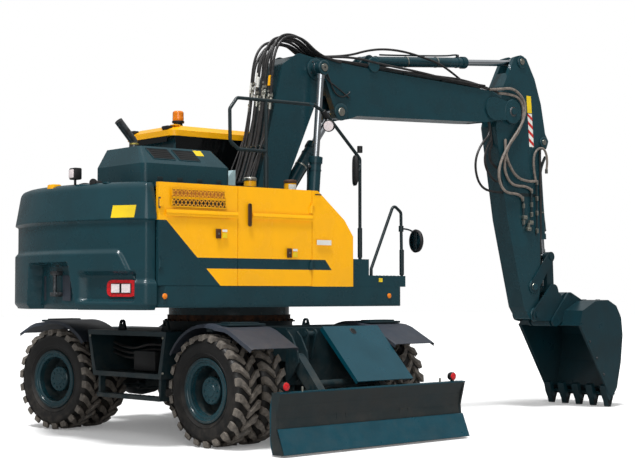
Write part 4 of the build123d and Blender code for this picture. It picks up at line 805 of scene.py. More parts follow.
class EXCAVATOR_OT_counterweight_fittings(Piece, bpy.types.Operator):
    """Tail lamps, blank plate, towing recess fittings and the lamp, camera and block on the rear cover"""
    bl_idname = "excavator.counterweight_fittings"
    bl_label = "Counterweight fittings"

    def build(self, sizes, colours):
        s = Shape()
        self.lamp(s, -1.095, -0.815, 1.400, 1.552)
        s.use("label_yellow")
        self.patch(s, -1.126, -0.915, 2.115, 2.228, 0.004, 0.002, lean=0.020)
        s.use("guards").block((-2.050, -0.30, 1.36), (-2.035, 0.20, 1.60), 0.004)
        s.use("worn").rod((-2.10, -0.10, 1.42), (-2.10, -0.10, 1.62), 0.018)
        s.block((-2.12, -0.16, 1.40), (-2.04, -0.04, 1.44), 0.006)
        s.block((-2.12, -0.16, 1.60), (-2.04, -0.04, 1.64), 0.006)
        self.lamp(s, 0.815, 1.095, 1.400, 1.552)
        s.use("label_yellow")
        self.patch(s, 0.56, 0.62, 1.40, 1.76, 0.004, 0.026)
        s.done("counterweight_lamps", "upper", "guard_plastic")
        c = Shape().use("plastic")
        c.rod((-2.05, -0.38, 2.40), (-2.05, -0.38, 2.50), 0.012)
        c.block((-2.09, -0.44, 2.49), (-2.01, -0.33, 2.60), 0.012)
        c.use("lens").block((-2.102, -0.425, 2.505), (-2.088, -0.345, 2.585), 0.006)
        c.use("plastic").block((-1.99, -0.66, 2.40), (-1.91, -0.56, 2.47), 0.02)
        c.turned([(0.0001, 0), (0.036, 0), (0.038, 0.02), (0.030, 0.034), (0.0001, 0.036)],
                 (-1.985, -0.61, 2.452), (-0.8, -0.6, 0), 20)
        c.tube([(-1.95, -0.50, 2.44), (-1.97, -0.42, 2.47), (-2.00, -0.34, 2.44)], 0.008)
        c.use("yellow").block((-2.12, -0.09, 2.40), (-2.03, 0.03, 2.465), 0.012)
        c.use("petrol")
        for y in (0.55, -0.75):
            c.turned([(0.0001, 0), (0.05, 0), (0.05, 0.012), (0.0001, 0.012)], (-1.92, y, 2.440), (0, 0, 1), 20)
        c.done("rear_cover_fittings", "upper", "guard_plastic")

    @staticmethod
    def on_arc(y, out):
        """X of the counterweight's round back at this Y, moved out."""
        r = EXCAVATOR_OT_counterweight.RADIUS + out
        return -math.sqrt(r * r - y * y)

    def patch(self, shape, y0, y1, z0, z1, thick, inset, steps=8, lean=0.0, corner=0.0):
        """A thin plate that follows the round back; lean tips its top in and corner rounds its ends."""
        rings = []
        for k in range(steps + 1):
            y = y0 + (y1 - y0) * (k / steps if not corner else (1 - math.cos(math.pi * k / steps)) / 2)
            near = max(0.0, corner - min(y - y0, y1 - y))
            trim = corner - math.sqrt(max(0.0, corner * corner - near * near)) if corner else 0.0
            low, high = z0 + trim, z1 - trim
            rings.append([(self.on_arc(y, out), y, level) for out, level in (
                (-inset, low), (thick - inset, low), (thick - inset - lean, high), (-inset - lean, high))])
        shape.loft(rings)

    def lamp(self, shape, y0, y1, z0, z1):
        """A red frame with two pale windows in the counterweight's pocket."""
        deep = 0.100
        middle = (y0 + y1) / 2
        shape.use("plastic", smooth=True)
        self.patch(shape, y0 - 0.012, y1 + 0.012, z0 - 0.012, z1 + 0.012, 0.020, deep, 20, corner=0.055)
        shape.use("red", smooth=True)
        self.patch(shape, y0, y1, z0, z1, 0.040, deep, 20, corner=0.050)
        # a near-black sheet between the red frame and the lenses: painted shade in the lamp's pocket
        shape.use("inside")
        self.patch(shape, y0 + 0.045, y1 - 0.045, z0 + 0.030, z1 - 0.030, 0.043, deep, 8)
        shape.use("lens")
        self.patch(shape, y0 + 0.052, middle - 0.012, z0 + 0.037, z1 - 0.037, 0.048, deep, 6)
        self.patch(shape, middle + 0.012, y1 - 0.052, z0 + 0.037, z1 - 0.037, 0.048, deep, 6)


class EXCAVATOR_OT_side_panels(Piece, bpy.types.Operator):
    """Grille, handle, lock plates, belt trim and side markers on the right-hand panels"""
    bl_idname = "excavator.side_panels"
    bl_label = "Side panels"

    def build(self, sizes, colours):
        self.rear(Shape())
        self.pump(Shape())
        self.front(Shape())

    @staticmethod
    def bar(shape, points, wide, y, thick):
        """A flat strip along X-Z points on the outer face."""
        for (xa, za), (xb, zb) in zip(points, points[1:]):
            a, b = Vector((xa, y, za)), Vector((xb, y, zb))
            along = (b - a).normalized()
            up = Vector((-along.z, 0, along.x)) * wide / 2
            shape.prism([a - up, b - up, b + up, a + up], (0, -thick, 0))

    @staticmethod
    def crease(s, x0, x1, z, y):
        """A pressed ridge along the panel."""
        s.side([(x0, z + 0.030), (x1, z + 0.030), (x1, z - 0.030), (x0, z - 0.030)], y + 0.001, y - 0.0005)
        s.loft([[(x, y, z + 0.026), (x, y - 0.006, z + 0.002), (x, y - 0.006, z - 0.004),
                 (x, y, z - 0.012)] for x in (x0, x1)])

    def rear(self, s):
        face = -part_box("rear_door_right")[0].y + AXIS.y      # outer face's distance from the axis
        y = -face
        right = lambda z: -0.963 + (z - 2.302) * -0.12
        # the grille's upper back is darker amber and its lower back near-black: painted shade behind the mesh
        for z0, z1, kind in ((2.308, 2.381, "grille_back_shade"), (2.223, 2.296, "inside")):
            s.use(kind).prism([(-1.559, y + 0.0015, z0), (right(z0), y + 0.0015, z0),
                               (right(z1), y + 0.0015, z1), (-1.559, y + 0.0015, z1)], (0, -0.0035, 0))
            s.use("mesh_lit")
            count = 14
            step = (right(z0) + 1.559) / count
            for k in range(count):
                x = -1.559 + step * (k + 0.5)
                for lean in (-1, 1):
                    a, b = (Vector((x - lean * step / 2, y - 0.002, z0)),
                            Vector((x + lean * step / 2, y - 0.002, z1)))
                    b.x, a.x = min(b.x, right(z1)), min(a.x, right(z0))
                    w = Vector((0.005, 0, 0))
                    s.prism([a - w, a + w, b + w, b - w], (0, -0.003, 0))
            s.use("yellow")
            self.bar(s, [(-1.559, z0), (right(z0), z0), (right(z1), z1), (-1.559, z1), (-1.559, z0)], 0.008,
                     y, 0.005)
        s.use("brown")
        self.lock(s, -1.04, 1.985, y)
        s.use("panels")
        self.crease(s, -1.620, -0.815, 2.165, y)
        s.done("rear_door_trim", "rear_door_right", "petrol_paint")

    @staticmethod
    def lock(s, x, z, y):
        """A key lock on its plate with two blank labels beside it."""
        s.use("brown").block((x - 0.030, y - 0.006, z - 0.045), (x + 0.030, y + 0.002, z + 0.045), 0.004)
        s.use("zinc").turned([(0.0001, 0), (0.010, 0), (0.010, 0.004), (0.0001, 0.004)], (x, y - 0.006, z),
                             (0, -1, 0), 12)
        s.use("label_yellow").block((x + 0.045, y - 0.0015, z - 0.04), (x + 0.10, y + 0.001, z + 0.01))
        s.use("label_white").block((x + 0.045, y - 0.0015, z + 0.018), (x + 0.10, y + 0.001, z + 0.04))

    def pump(self, s):
        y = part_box("pump_door_right")[0].y - AXIS.y
        s.use("brown", smooth=True)
        rings = []
        for wide, high, deep in ((0.021, 0.110, 0.0), (0.021, 0.110, 0.008), (0.016, 0.104, 0.011),
                                 (0.013, 0.100, 0.002)):
            ring = []
            for k in range(24):
                t = math.tau * k / 24
                ring.append((-0.678 + math.cos(t) * wide, y - deep,
                             2.172 + math.sin(t) * wide + math.copysign(high - wide, math.sin(t))))
            rings.append(ring)
        s.loft(rings)
        self.lock(s, -0.20, 1.82, y)
        s.use("panels")
        self.crease(s, -0.640, 0.090, 2.165, y)
        s.done("pump_door_trim", "pump_door_right", "petrol_paint")

    def front(self, s):
        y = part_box("front_side_panel")[0].y - AXIS.y
        s.use("label_white").block((0.145, y - 0.0015, 1.905), (0.33, y + 0.001, 1.955))
        s.use("steel_black")
        self.bar(s, [(0.12, 2.40), (0.20, 2.40)], 0.012, y, 0.004)
        s.use("amber")
        for x in (-1.62, 1.12):
            s.turned([(0.0001, 0), (0.026, 0), (0.026, 0.006), (0.018, 0.012), (0.0001, 0.013)],
                     (x, -1.246, 1.405), (0, -1, 0), 20)
        s.use("petrol")
        s.block((-1.69, -1.2475, 1.316), (1.25, -1.2435, 1.330))
        s.done("front_panel_trim", "upper", "petrol_paint")


class EXCAVATOR_OT_hood_details(Piece, bpy.types.Operator):
    """Slots, latches, lifting points and blank plate on the engine hood"""
    bl_idname = "excavator.hood_details"
    bl_label = "Hood details"

    def build(self, sizes, colours):
        low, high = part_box("engine_hood")
        low, high = low - AXIS, high - AXIS
        s = Shape()
        foot, rise = Vector((0, -1.100, 2.620)), Vector((0, 0.160, 0.170))
        out = Vector((0, -0.728, 0.685))
        for x0, x1 in ((-1.650, -1.400), (-1.365, -1.120)):
            a, b = foot + rise * 0.28, foot + rise * 0.86
            corners = [a + Vector((x0 + 0.035, 0, 0)), a + Vector((x1 + 0.02, 0, 0)),
                       b + Vector((x1 - 0.02, 0, 0)), b + Vector((x0, 0, 0))]
            # near-black sheets in the slots: painted shade
            s.use("inside").prism(corners, out * 0.003)
            s.use("petrol")
            for p, q in zip(corners, corners[1:] + corners[:1]):
                side = (q - p).normalized().cross(out) * 0.006
                s.prism([p, q, q + side, p + side], out * 0.006)
            # the louvre gaps are near-black strips too: painted shade
            s.use("inside")
            for k in range(5):
                p = a + (b - a) * (k + 0.4) / 5
                s.prism([p + Vector((x0 + 0.03, 0, 0)), p + Vector((x1 - 0.005, 0, 0)),
                         p + Vector((x1 - 0.005, 0, 0)) + (b - a) * 0.05,
                         p + Vector((x0 + 0.03, 0, 0)) + (b - a) * 0.05], out * 0.005)
        s.use("label_yellow")
        a, b = foot + rise * 0.62, foot + rise * 0.93
        s.prism([a + Vector((-1.11, 0, 0)), a + Vector((-1.02, 0, 0)), b + Vector((-1.03, 0, 0)),
                 b + Vector((-1.12, 0, 0))], out * 0.002)
        s.use("steel_black")
        for x in (-1.58, -1.36, -1.14, -0.92):
            s.block((x - 0.03, low.y - 0.004, low.z + 0.005), (x + 0.03, low.y + 0.012, low.z + 0.05), 0.004)
        s.use("petrol")
        s.block((-1.02, -0.60, high.z - 0.004), (-0.96, -0.50, high.z + 0.025), 0.006)
        s.done("hood_trim", "engine_hood", "petrol_paint")


def fan(count, start, end):
    """Evenly spaced places across the boom, one for each hose."""
    return [start + (end - start) * k / max(1, count - 1) for k in range(count)]


class EXCAVATOR_OT_boom_hoses(Piece, bpy.types.Operator):
    """Pressure hoses up the lower boom and over the knuckle, with fittings, sleeves and clamps"""
    bl_idname = "excavator.boom_hoses"
    bl_label = "Boom hoses"

    def build(self, sizes, colours):
        r = sizes.hose_radius
        foot = Shape()
        for k, y in enumerate(fan(9, -0.235, 0.115)):
            lean = 0.012 * math.sin(k * 2.3)
            foot.use("hose", smooth=True)
            foot.tube([(0.02 + lean, y, 2.02), (0.00 + lean, y, 2.30), (0.14 + lean, y, 2.62),
                       (0.24 + lean, y, 2.92), (0.30 + lean, y, 3.12),
                       (0.350 + lean, y, 3.40 + 0.05 * (k % 4))], r)
            self.fitting(foot, (0.350 + lean, y, 3.38 + 0.05 * (k % 4)), (0.12, 0, 0.99), r)
        foot.use("steel_black").block((0.235, -0.26, 2.955), (0.285, 0.14, 2.985), 0.004)
        foot.use("zinc")
        for y in fan(5, -0.215, 0.095):
            foot.bolt((0.24, y, 2.97), (-1, 0, 0), 0.009)
        foot.use("steel_black").block((0.07, -0.26, 2.575), (0.12, 0.14, 2.60), 0.004)
        foot.use("hose", smooth=True)
        for y, dx in ((-0.255, 0.0), (0.135, 0.01)):
            foot.tube([(0.05 + dx, y, 2.05), (-0.02 + dx, y, 2.45), (0.12 + dx, y, 2.75),
                       (0.26 + dx, y, 3.05)], sizes.small_hose_radius)
        foot.done("lower_boom_hoses", "boom_base", "guard_plastic")

        over = Shape()
        for k, y in enumerate(fan(9, -0.235, 0.115)):
            lean = 0.012 * math.sin(k * 2.3)
            rise = 0.03 * math.sin(k * 1.7) + (0.05 if k < 5 else 0.0)
            over.use("hose", smooth=True)
            start = Vector((0.362 + lean, y, 3.48 + 0.05 * (k % 4)))
            over.tube([start, start + Vector((0.01, 0, 0.15)), (0.41, y, 3.94 + rise), (0.55, y, 4.12 + rise),
                       (0.80, y * 0.95, 4.15 + rise * 0.5), (1.02, y * 0.9, 4.03), (1.20, y * 0.88, 3.985),
                       (1.36, y * 0.88, 3.965)], r)
            over.use(("label_white", "yellow", "label_white")[k % 3], smooth=True)
            if k in (1, 5, 6, 8):
                over.tube([start + Vector((0.004, 0, 0.09)), start + Vector((0.010, 0, 0.15)),
                           start + Vector((0.018, 0, 0.20))], r + 0.003)
            self.fitting(over, tuple(start - Vector((0, 0, 0.03))), (0.12, 0, 0.99), r)
        piece = over.done("knuckle_hoses", None, "guard_plastic")
        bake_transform(piece)

        root = Shape().use("hose", smooth=True)
        for y in fan(9, -0.235, 0.115):
            root.tube([(-0.10, y, 1.66), (-0.16, y, 1.85), (-0.04, y, 1.98), (0.02, y, 2.05)], r)
        piece = root.done("boom_foot_hoses", None, "guard_plastic")
        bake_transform(piece)

    @staticmethod
    def fitting(shape, centre, way, r):
        """A swaged ferrule with its hexagon nut and a short sleeve."""
        at, way = Vector(centre), Vector(way).normalized()
        shape.use("zinc")
        shape.turned([(r, -0.02), (r + 0.004, -0.018), (r + 0.004, 0.030), (r + 0.001, 0.034),
                      (r + 0.001, 0.05)], at, way, 12)
        shape.turned([(r, 0.048), (r + 0.008, 0.050), (r + 0.008, 0.072), (r, 0.074)], at, way, 6)
        shape.turned([(r + 0.001, 0.070), (r + 0.001, 0.088)], at, way, 12)


class EXCAVATOR_OT_boom_details(Piece, bpy.types.Operator):
    """Pin bosses, stiffening plates, rigid pipes and hoses on both boom sections"""
    bl_idname = "excavator.boom_details"
    bl_label = "Boom details"

    def build(self, sizes, colours):
        lower, upper = Shape(), Shape()
        for side in (-1, 1):
            y = BOOM_Y + side * 0.180
            out = (0, side, 0)
            lower.use("petrol")
            lower.turned([(0.115, -0.002), (0.115, 0.018), (0.105, 0.024), (0.058, 0.024), (0.058, 0.0)],
                         on_pin(KNUCKLE, y), out, 40)
            lower.use("zinc")
            lower.turned([(0.0001, 0.030), (0.050, 0.030), (0.056, 0.024), (0.056, 0.0)], on_pin(KNUCKLE, y),
                         out, 32)
            for t in range(4):
                lower.use("worn").bolt((KNUCKLE[0] + 0.085 * math.cos(t * 1.57 + 0.6), y + side * 0.024,
                                        KNUCKLE[1] + 0.085 * math.sin(t * 1.57 + 0.6)), out, 0.010)
        for y in (-0.16, -0.11, 0.01, 0.06):
            upper.use("steel_black", smooth=True)
            upper.tube([(1.34, y, 3.975), (1.50, y, 3.972), (1.84, y, 3.960), (2.6, y, 3.934),
                        (3.40, y, 3.908), (3.56, y, 3.903)], 0.0125)
            upper.use("zinc")
            for x in (1.345, 3.56):
                upper.rod((x - 0.02, y, 3.975 - (x - 1.34) * 0.0325),
                          (x + 0.03, y, 3.974 - (x - 1.34) * 0.0325), 0.019, 6)
        upper.use("steel_black")
        for x in (1.75, 2.35, 2.95, 3.45):
            z = 3.948 - (x - 1.75) * 0.0335
            upper.block((x - 0.03, -0.19, z), (x + 0.03, 0.09, z + 0.035), 0.004)
            upper.use("zinc")
            for y in (-0.135, 0.035):
                upper.bolt((x, y, z + 0.035), (0, 0, 1), 0.009)
            upper.use("steel_black")
        upper.use("hose", smooth=True)
        for run in ([(1.07, -0.14, 4.01), (1.457, -0.15, 4.043), (1.857, -0.165, 4.176),
                     (2.255, -0.165, 4.208), (2.681, -0.165, 4.161), (3.006, -0.155, 4.101),
                     (3.30, -0.15, 3.95)],
                    [(1.025, -0.16, 3.99), (1.63, -0.205, 3.985), (2.234, -0.21, 3.958),
                     (2.869, -0.21, 3.939), (3.366, -0.21, 3.903), (3.70, -0.205, 3.885)],
                    [(1.115, -0.18, 4.00), (1.474, -0.215, 4.048), (1.919, -0.222, 4.005),
                     (2.538, -0.222, 3.976), (3.023, -0.222, 3.929), (3.612, -0.222, 3.915)],
                    [(1.10, -0.12, 3.99), (1.419, -0.19, 3.975), (2.013, -0.195, 3.965),
                     (2.717, -0.195, 3.955), (3.377, -0.195, 3.965), (3.86, -0.205, 3.86)]):
            upper.tube(run, sizes.hose_radius * 0.9)
        upper.tube([(1.09, -0.216, 3.931), (1.194, -0.216, 3.756), (1.266, -0.216, 3.598),
                    (1.41, -0.216, 3.577), (1.482, -0.216, 3.65)], sizes.small_hose_radius)
        upper.tube([(1.05, -0.214, 3.936), (1.109, -0.216, 3.77), (1.309, -0.216, 3.679),
                    (1.468, -0.216, 3.582)], sizes.small_hose_radius)
        for side in (-1, 1):
            y = BOOM_Y + side * 0.150
            upper.use("petrol")
            upper.turned([(0.150, -0.002), (0.150, 0.014), (0.140, 0.022), (0.062, 0.022), (0.062, 0.0)],
                         on_pin(ARM_PIVOT, y), (0, side, 0), 40)
            upper.use("worn")
            upper.turned([(0.0001, 0.030), (0.052, 0.030), (0.060, 0.022), (0.060, 0.0)],
                         on_pin(ARM_PIVOT, y), (0, side, 0), 32)
            upper.use("petrol")
            upper.turned([(0.095, -0.002), (0.095, 0.016), (0.086, 0.022), (0.050, 0.022), (0.050, 0.0)],
                         on_pin(ADJUST_EYE, y), (0, side, 0), 32)
            upper.use("zinc")
            upper.turned([(0.0001, 0.028), (0.040, 0.028), (0.047, 0.022), (0.047, 0.0)],
                         on_pin(ADJUST_EYE, y), (0, side, 0), 24)
            upper.use("petrol")
            upper.turned([(0.085, -0.002), (0.085, 0.016), (0.078, 0.022), (0.0001, 0.022)], (1.84, y, 3.99),
                         (0, side, 0), 28)
        lower.done("lower_boom_details", "boom_base", "petrol_paint")
        upper.done("upper_boom_details", "boom_upper", "petrol_paint")


class EXCAVATOR_OT_arm_details(Piece, bpy.types.Operator):
    """Pin bosses, striped plate, blank plate and pipes on the arm"""
    bl_idname = "excavator.arm_details"
    bl_label = "Arm details"

    def build(self, sizes, colours):
        s = Shape()
        near = BOOM_Y - 0.125
        def on_plate(across, z):
            return (4.395 + 0.080 * across + (3.87 - z) * 0.08, near - 0.001, z)

        s.use("label_yellow").prism([on_plate(0, 3.66), on_plate(1, 3.66), on_plate(1, 3.87),
                                     on_plate(0, 3.87)], (0, -0.002, 0))
        s.use("label_white").prism([on_plate(0, 3.24), on_plate(1, 3.24), on_plate(1, 3.65),
                                    on_plate(0, 3.65)], (0, -0.002, 0))
        s.use("stripe_red")
        for k in range(4):
            z = 3.245 + k * 0.105
            s.prism([on_plate(1, z), on_plate(1, z + 0.045), on_plate(0, min(3.65, z + 0.105)),
                     on_plate(0, min(3.65, z + 0.060))], (0, -0.003, 0))
        for side in (-1, 1):
            y = BOOM_Y + side * 0.125
            for x, z, r in ((*ARM_CYLINDER_EYE, 0.075), (*BUCKET_CYLINDER_FOOT, 0.070), (4.505, 1.51, 0.085),
                            (4.525, 1.165, 0.085)):
                s.use("petrol").turned([(r, -0.002), (r, 0.014), (r - 0.008, 0.020), (r * 0.55, 0.020),
                                        (r * 0.55, 0)], (x, y, z), (0, side, 0), 28)
                s.use("zinc").turned([(0.0001, 0.027), (r * 0.48, 0.027), (r * 0.53, 0.020), (r * 0.53, 0)],
                                     (x, y, z), (0, side, 0), 24)
        s.use("steel_black", smooth=True)
        for y in (-0.157, -0.135, 0.035, 0.057):
            s.tube([(4.775, y, 3.14), (4.685, y, 3.02), (4.662, y, 2.80), (4.655, y, 2.2), (4.650, y, 1.72),
                    (4.645, y, 1.66)], 0.011)
        s.use("steel_black")
        for z in (2.85, 2.40, 1.95):
            for y in (-0.146, 0.046):
                s.block((4.632, y - 0.026, z - 0.02), (4.675, y + 0.026, z + 0.02), 0.004)
        s.use("zinc")
        for y in (-0.157, -0.135, 0.035, 0.057):
            s.rod((4.648, y, 1.60), (4.650, y, 1.67), 0.017, 6)
        s.use("hose_grey", smooth=True).tube(
            [(4.531, -0.20, 2.818), (4.478, -0.205, 3.014), (4.516, -0.205, 3.202), (4.683, -0.205, 3.251),
             (4.756, -0.205, 3.092), (4.736, -0.195, 2.966)], sizes.hose_radius)
        s.use("hose", smooth=True).tube([(4.626, -0.19, 3.248), (4.623, -0.19, 2.899), (4.638, -0.19, 2.525),
                                         (4.652, -0.16, 2.003)], sizes.hose_radius)
        s.use("steel_black", smooth=True)
        for x, z0, z1 in ((4.311, 2.60, 2.30), (4.457, 2.70, 2.40), (4.556, 2.82, 2.19)):
            s.tube([(x, -0.196, z0), (x, -0.196, (z0 + z1) / 2), (x, -0.196, z1), (x, -0.165, z1 - 0.05)],
                   0.011)
        s.use("zinc")
        for x, z in ((4.295, 2.585), (4.311, 2.50), (4.311, 2.30), (4.457, 2.69), (4.457, 2.52),
                     (4.457, 2.40), (4.556, 2.80), (4.556, 2.60), (4.556, 2.42), (4.400, 2.26), (4.556, 2.20),
                     (4.736, 2.95)):
            s.rod((x, -0.196, z - 0.028), (x, -0.196, z + 0.028), 0.021, 6)
        for x, z in ((4.33, 2.36), (4.44, 2.30), (4.40, 2.22)):
            s.block((x - 0.035, -0.215, z - 0.025), (x + 0.035, -0.175, z + 0.025), 0.006)
            s.rod((x, -0.215, z), (x, -0.240, z), 0.010, 8)
        s.use("steel_black").block((4.27, -0.178, 2.62), (4.60, -0.172, 2.66), 0.002)
        s.done("arm_trim", "arm", "petrol_paint")

        loops = Shape()
        loops.use("hose", smooth=True)
        for run in ([(3.62, -0.16, 3.86), (3.832, -0.16, 3.405), (3.547, -0.20, 3.201), (3.444, -0.20, 2.955),
                     (3.544, -0.20, 2.686), (3.89, -0.15, 2.644), (4.02, -0.14, 2.66)],
                    [(3.66, -0.12, 3.86), (3.874, -0.12, 3.339), (3.682, -0.17, 3.188), (3.646, -0.17, 2.969),
                     (3.80, -0.17, 2.784), (3.972, -0.14, 2.782), (4.06, -0.14, 2.80)],
                    [(3.70, -0.08, 3.86), (3.916, -0.08, 3.272), (3.807, -0.10, 3.165), (3.823, -0.10, 3.02),
                     (3.981, -0.10, 2.932), (4.05, -0.12, 2.92)]):
            loops.tube(run, sizes.hose_radius)
        loops.use("hose_grey", smooth=True)
        for run in ([(3.70, -0.215, 3.88), (3.877, -0.222, 3.90), (4.126, -0.222, 3.937),
                     (4.34, -0.222, 3.783), (4.302, -0.222, 3.533), (3.978, -0.222, 3.191),
                     (3.818, -0.222, 2.891), (3.921, -0.222, 2.641), (4.277, -0.20, 2.645),
                     (4.294, -0.20, 2.572)],
                    [(3.86, -0.205, 3.85), (4.04, -0.205, 3.86), (4.254, -0.205, 3.827),
                     (4.325, -0.205, 3.66), (4.251, -0.205, 3.432), (4.017, -0.205, 3.208),
                     (3.945, -0.205, 2.947), (4.085, -0.20, 2.735), (4.39, -0.20, 2.75),
                     (4.463, -0.20, 2.691)],
                    [(3.99, -0.20, 3.30), (3.965, -0.215, 3.167), (4.035, -0.215, 2.988),
                     (4.176, -0.215, 2.837), (4.41, -0.205, 2.799), (4.539, -0.20, 2.818)]):
            loops.tube(run, sizes.hose_radius * 1.15)
        piece = loops.done("arm_hose_loops", None, "guard_plastic")
        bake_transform(piece)


class EXCAVATOR_OT_cylinder_details(Piece, bpy.types.Operator):
    """Gland rings, port blocks and feed pipes on the hydraulic cylinders"""
    bl_idname = "excavator.cylinder_details"
    bl_label = "Cylinder details"

    # node, foot, eye, barrel's length, barrel's radius, centre planes
    RUNS = (("lift_barrels", LIFT_FOOT, KNUCKLE, 1.42, 0.065, (BOOM_Y - 0.285, BOOM_Y + 0.285)),
            ("adjust_barrel", ADJUST_FOOT, ADJUST_EYE, 1.12, 0.065, (BOOM_Y,)),
            ("arm_barrel", ARM_CYLINDER_FOOT, ARM_CYLINDER_EYE, 1.61, 0.060, (BOOM_Y,)),
            ("bucket_barrel", BUCKET_CYLINDER_FOOT, BUCKET_CYLINDER_EYE, 1.21, 0.052, (BOOM_Y,)))

    def build(self, sizes, colours):
        for node, foot, eye, span, radius, places in self.RUNS:
            s = Shape()
            way = Vector((eye[0] - foot[0], 0, eye[1] - foot[1])).normalized()
            across = Vector((-way.z, 0, way.x)) * (-1 if node == "adjust_barrel" else 1)
            proud = 0.3 if node == "bucket_barrel" else 1.0      # the arm's face comes close to this one
            for y in places:
                base = Vector((foot[0], y, foot[1]))
                s.use("petrol")
                for at, grow, wide in ((span - 0.150, 0.006, 0.012), (span - 0.062, 0.0125, 0.006),
                                       (span - 0.046, 0.0125, 0.006), (span - 0.030, 0.0125, 0.006),
                                       (span - 0.014, 0.0125, 0.006), (0.16, 0.006, 0.014)):
                    s.turned([(radius - 0.002, 0), (radius + grow * proud, 0), (radius + grow * proud, wide),
                              (radius - 0.002, wide)], base + way * at, way, 32)
                s.use("worn").rod(base + way * (span - 0.115) + across * (radius - 0.003),
                                  base + way * (span - 0.115) + across * (radius + 0.035), 0.020, 8)
                s.use("steel_black", smooth=True)
                s.tube([base + way * (span - 0.115) + across * (radius + 0.030),
                        base + way * (span - 0.16) + across * (radius + 0.034),
                        base + way * (span - 0.30) + across * (radius + 0.016),
                        base + way * 0.34 + across * (radius + 0.016),
                        base + way * 0.24 + across * (radius + 0.020)], 0.010)
                s.use("zinc")
                for at in (0.32, 0.62):
                    s.turned([(radius + 0.001, -0.008), (radius + 0.004, -0.008), (radius + 0.004, 0.008),
                              (radius + 0.001, 0.008)], base + way * (span * at + 0.12), way, 32)
            s.done(node + "_details", node, "cylinder_paint")
        self.eyes(Shape())

    @staticmethod
    def eyes(s):
        """Painted collars and bright pin ends over the eyes of the lift cylinders' rods."""
        for side in (-1, 1):
            low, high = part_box("lift_rods")
            face = high.y - AXIS.y if side > 0 else low.y - AXIS.y
            s.use("petrol").turned([(0.0765, 0), (0.079, -0.002), (0.079, -0.070), (0.0765, -0.072)],
                                   on_pin(KNUCKLE, face), (0, side, 0), 36)
            s.turned([(0.076, 0.0005), (0.070, 0.006), (0.050, 0.006), (0.046, 0.0005)],
                     on_pin(KNUCKLE, face), (0, side, 0), 36)
            s.use("zinc").turned([(0.046, 0.0005), (0.042, 0.010), (0.0001, 0.012)], on_pin(KNUCKLE, face),
                                 (0, side, 0), 28)
            # a near-black hexagon in the pin's end: painted shade of its socket
            s.use("inside").turned([(0.012, 0.0125), (0.0001, 0.0125)], on_pin(KNUCKLE, face), (0, side, 0), 6)
        s.done("lift_rod_eyes", "lift_rods", "cylinder_paint")


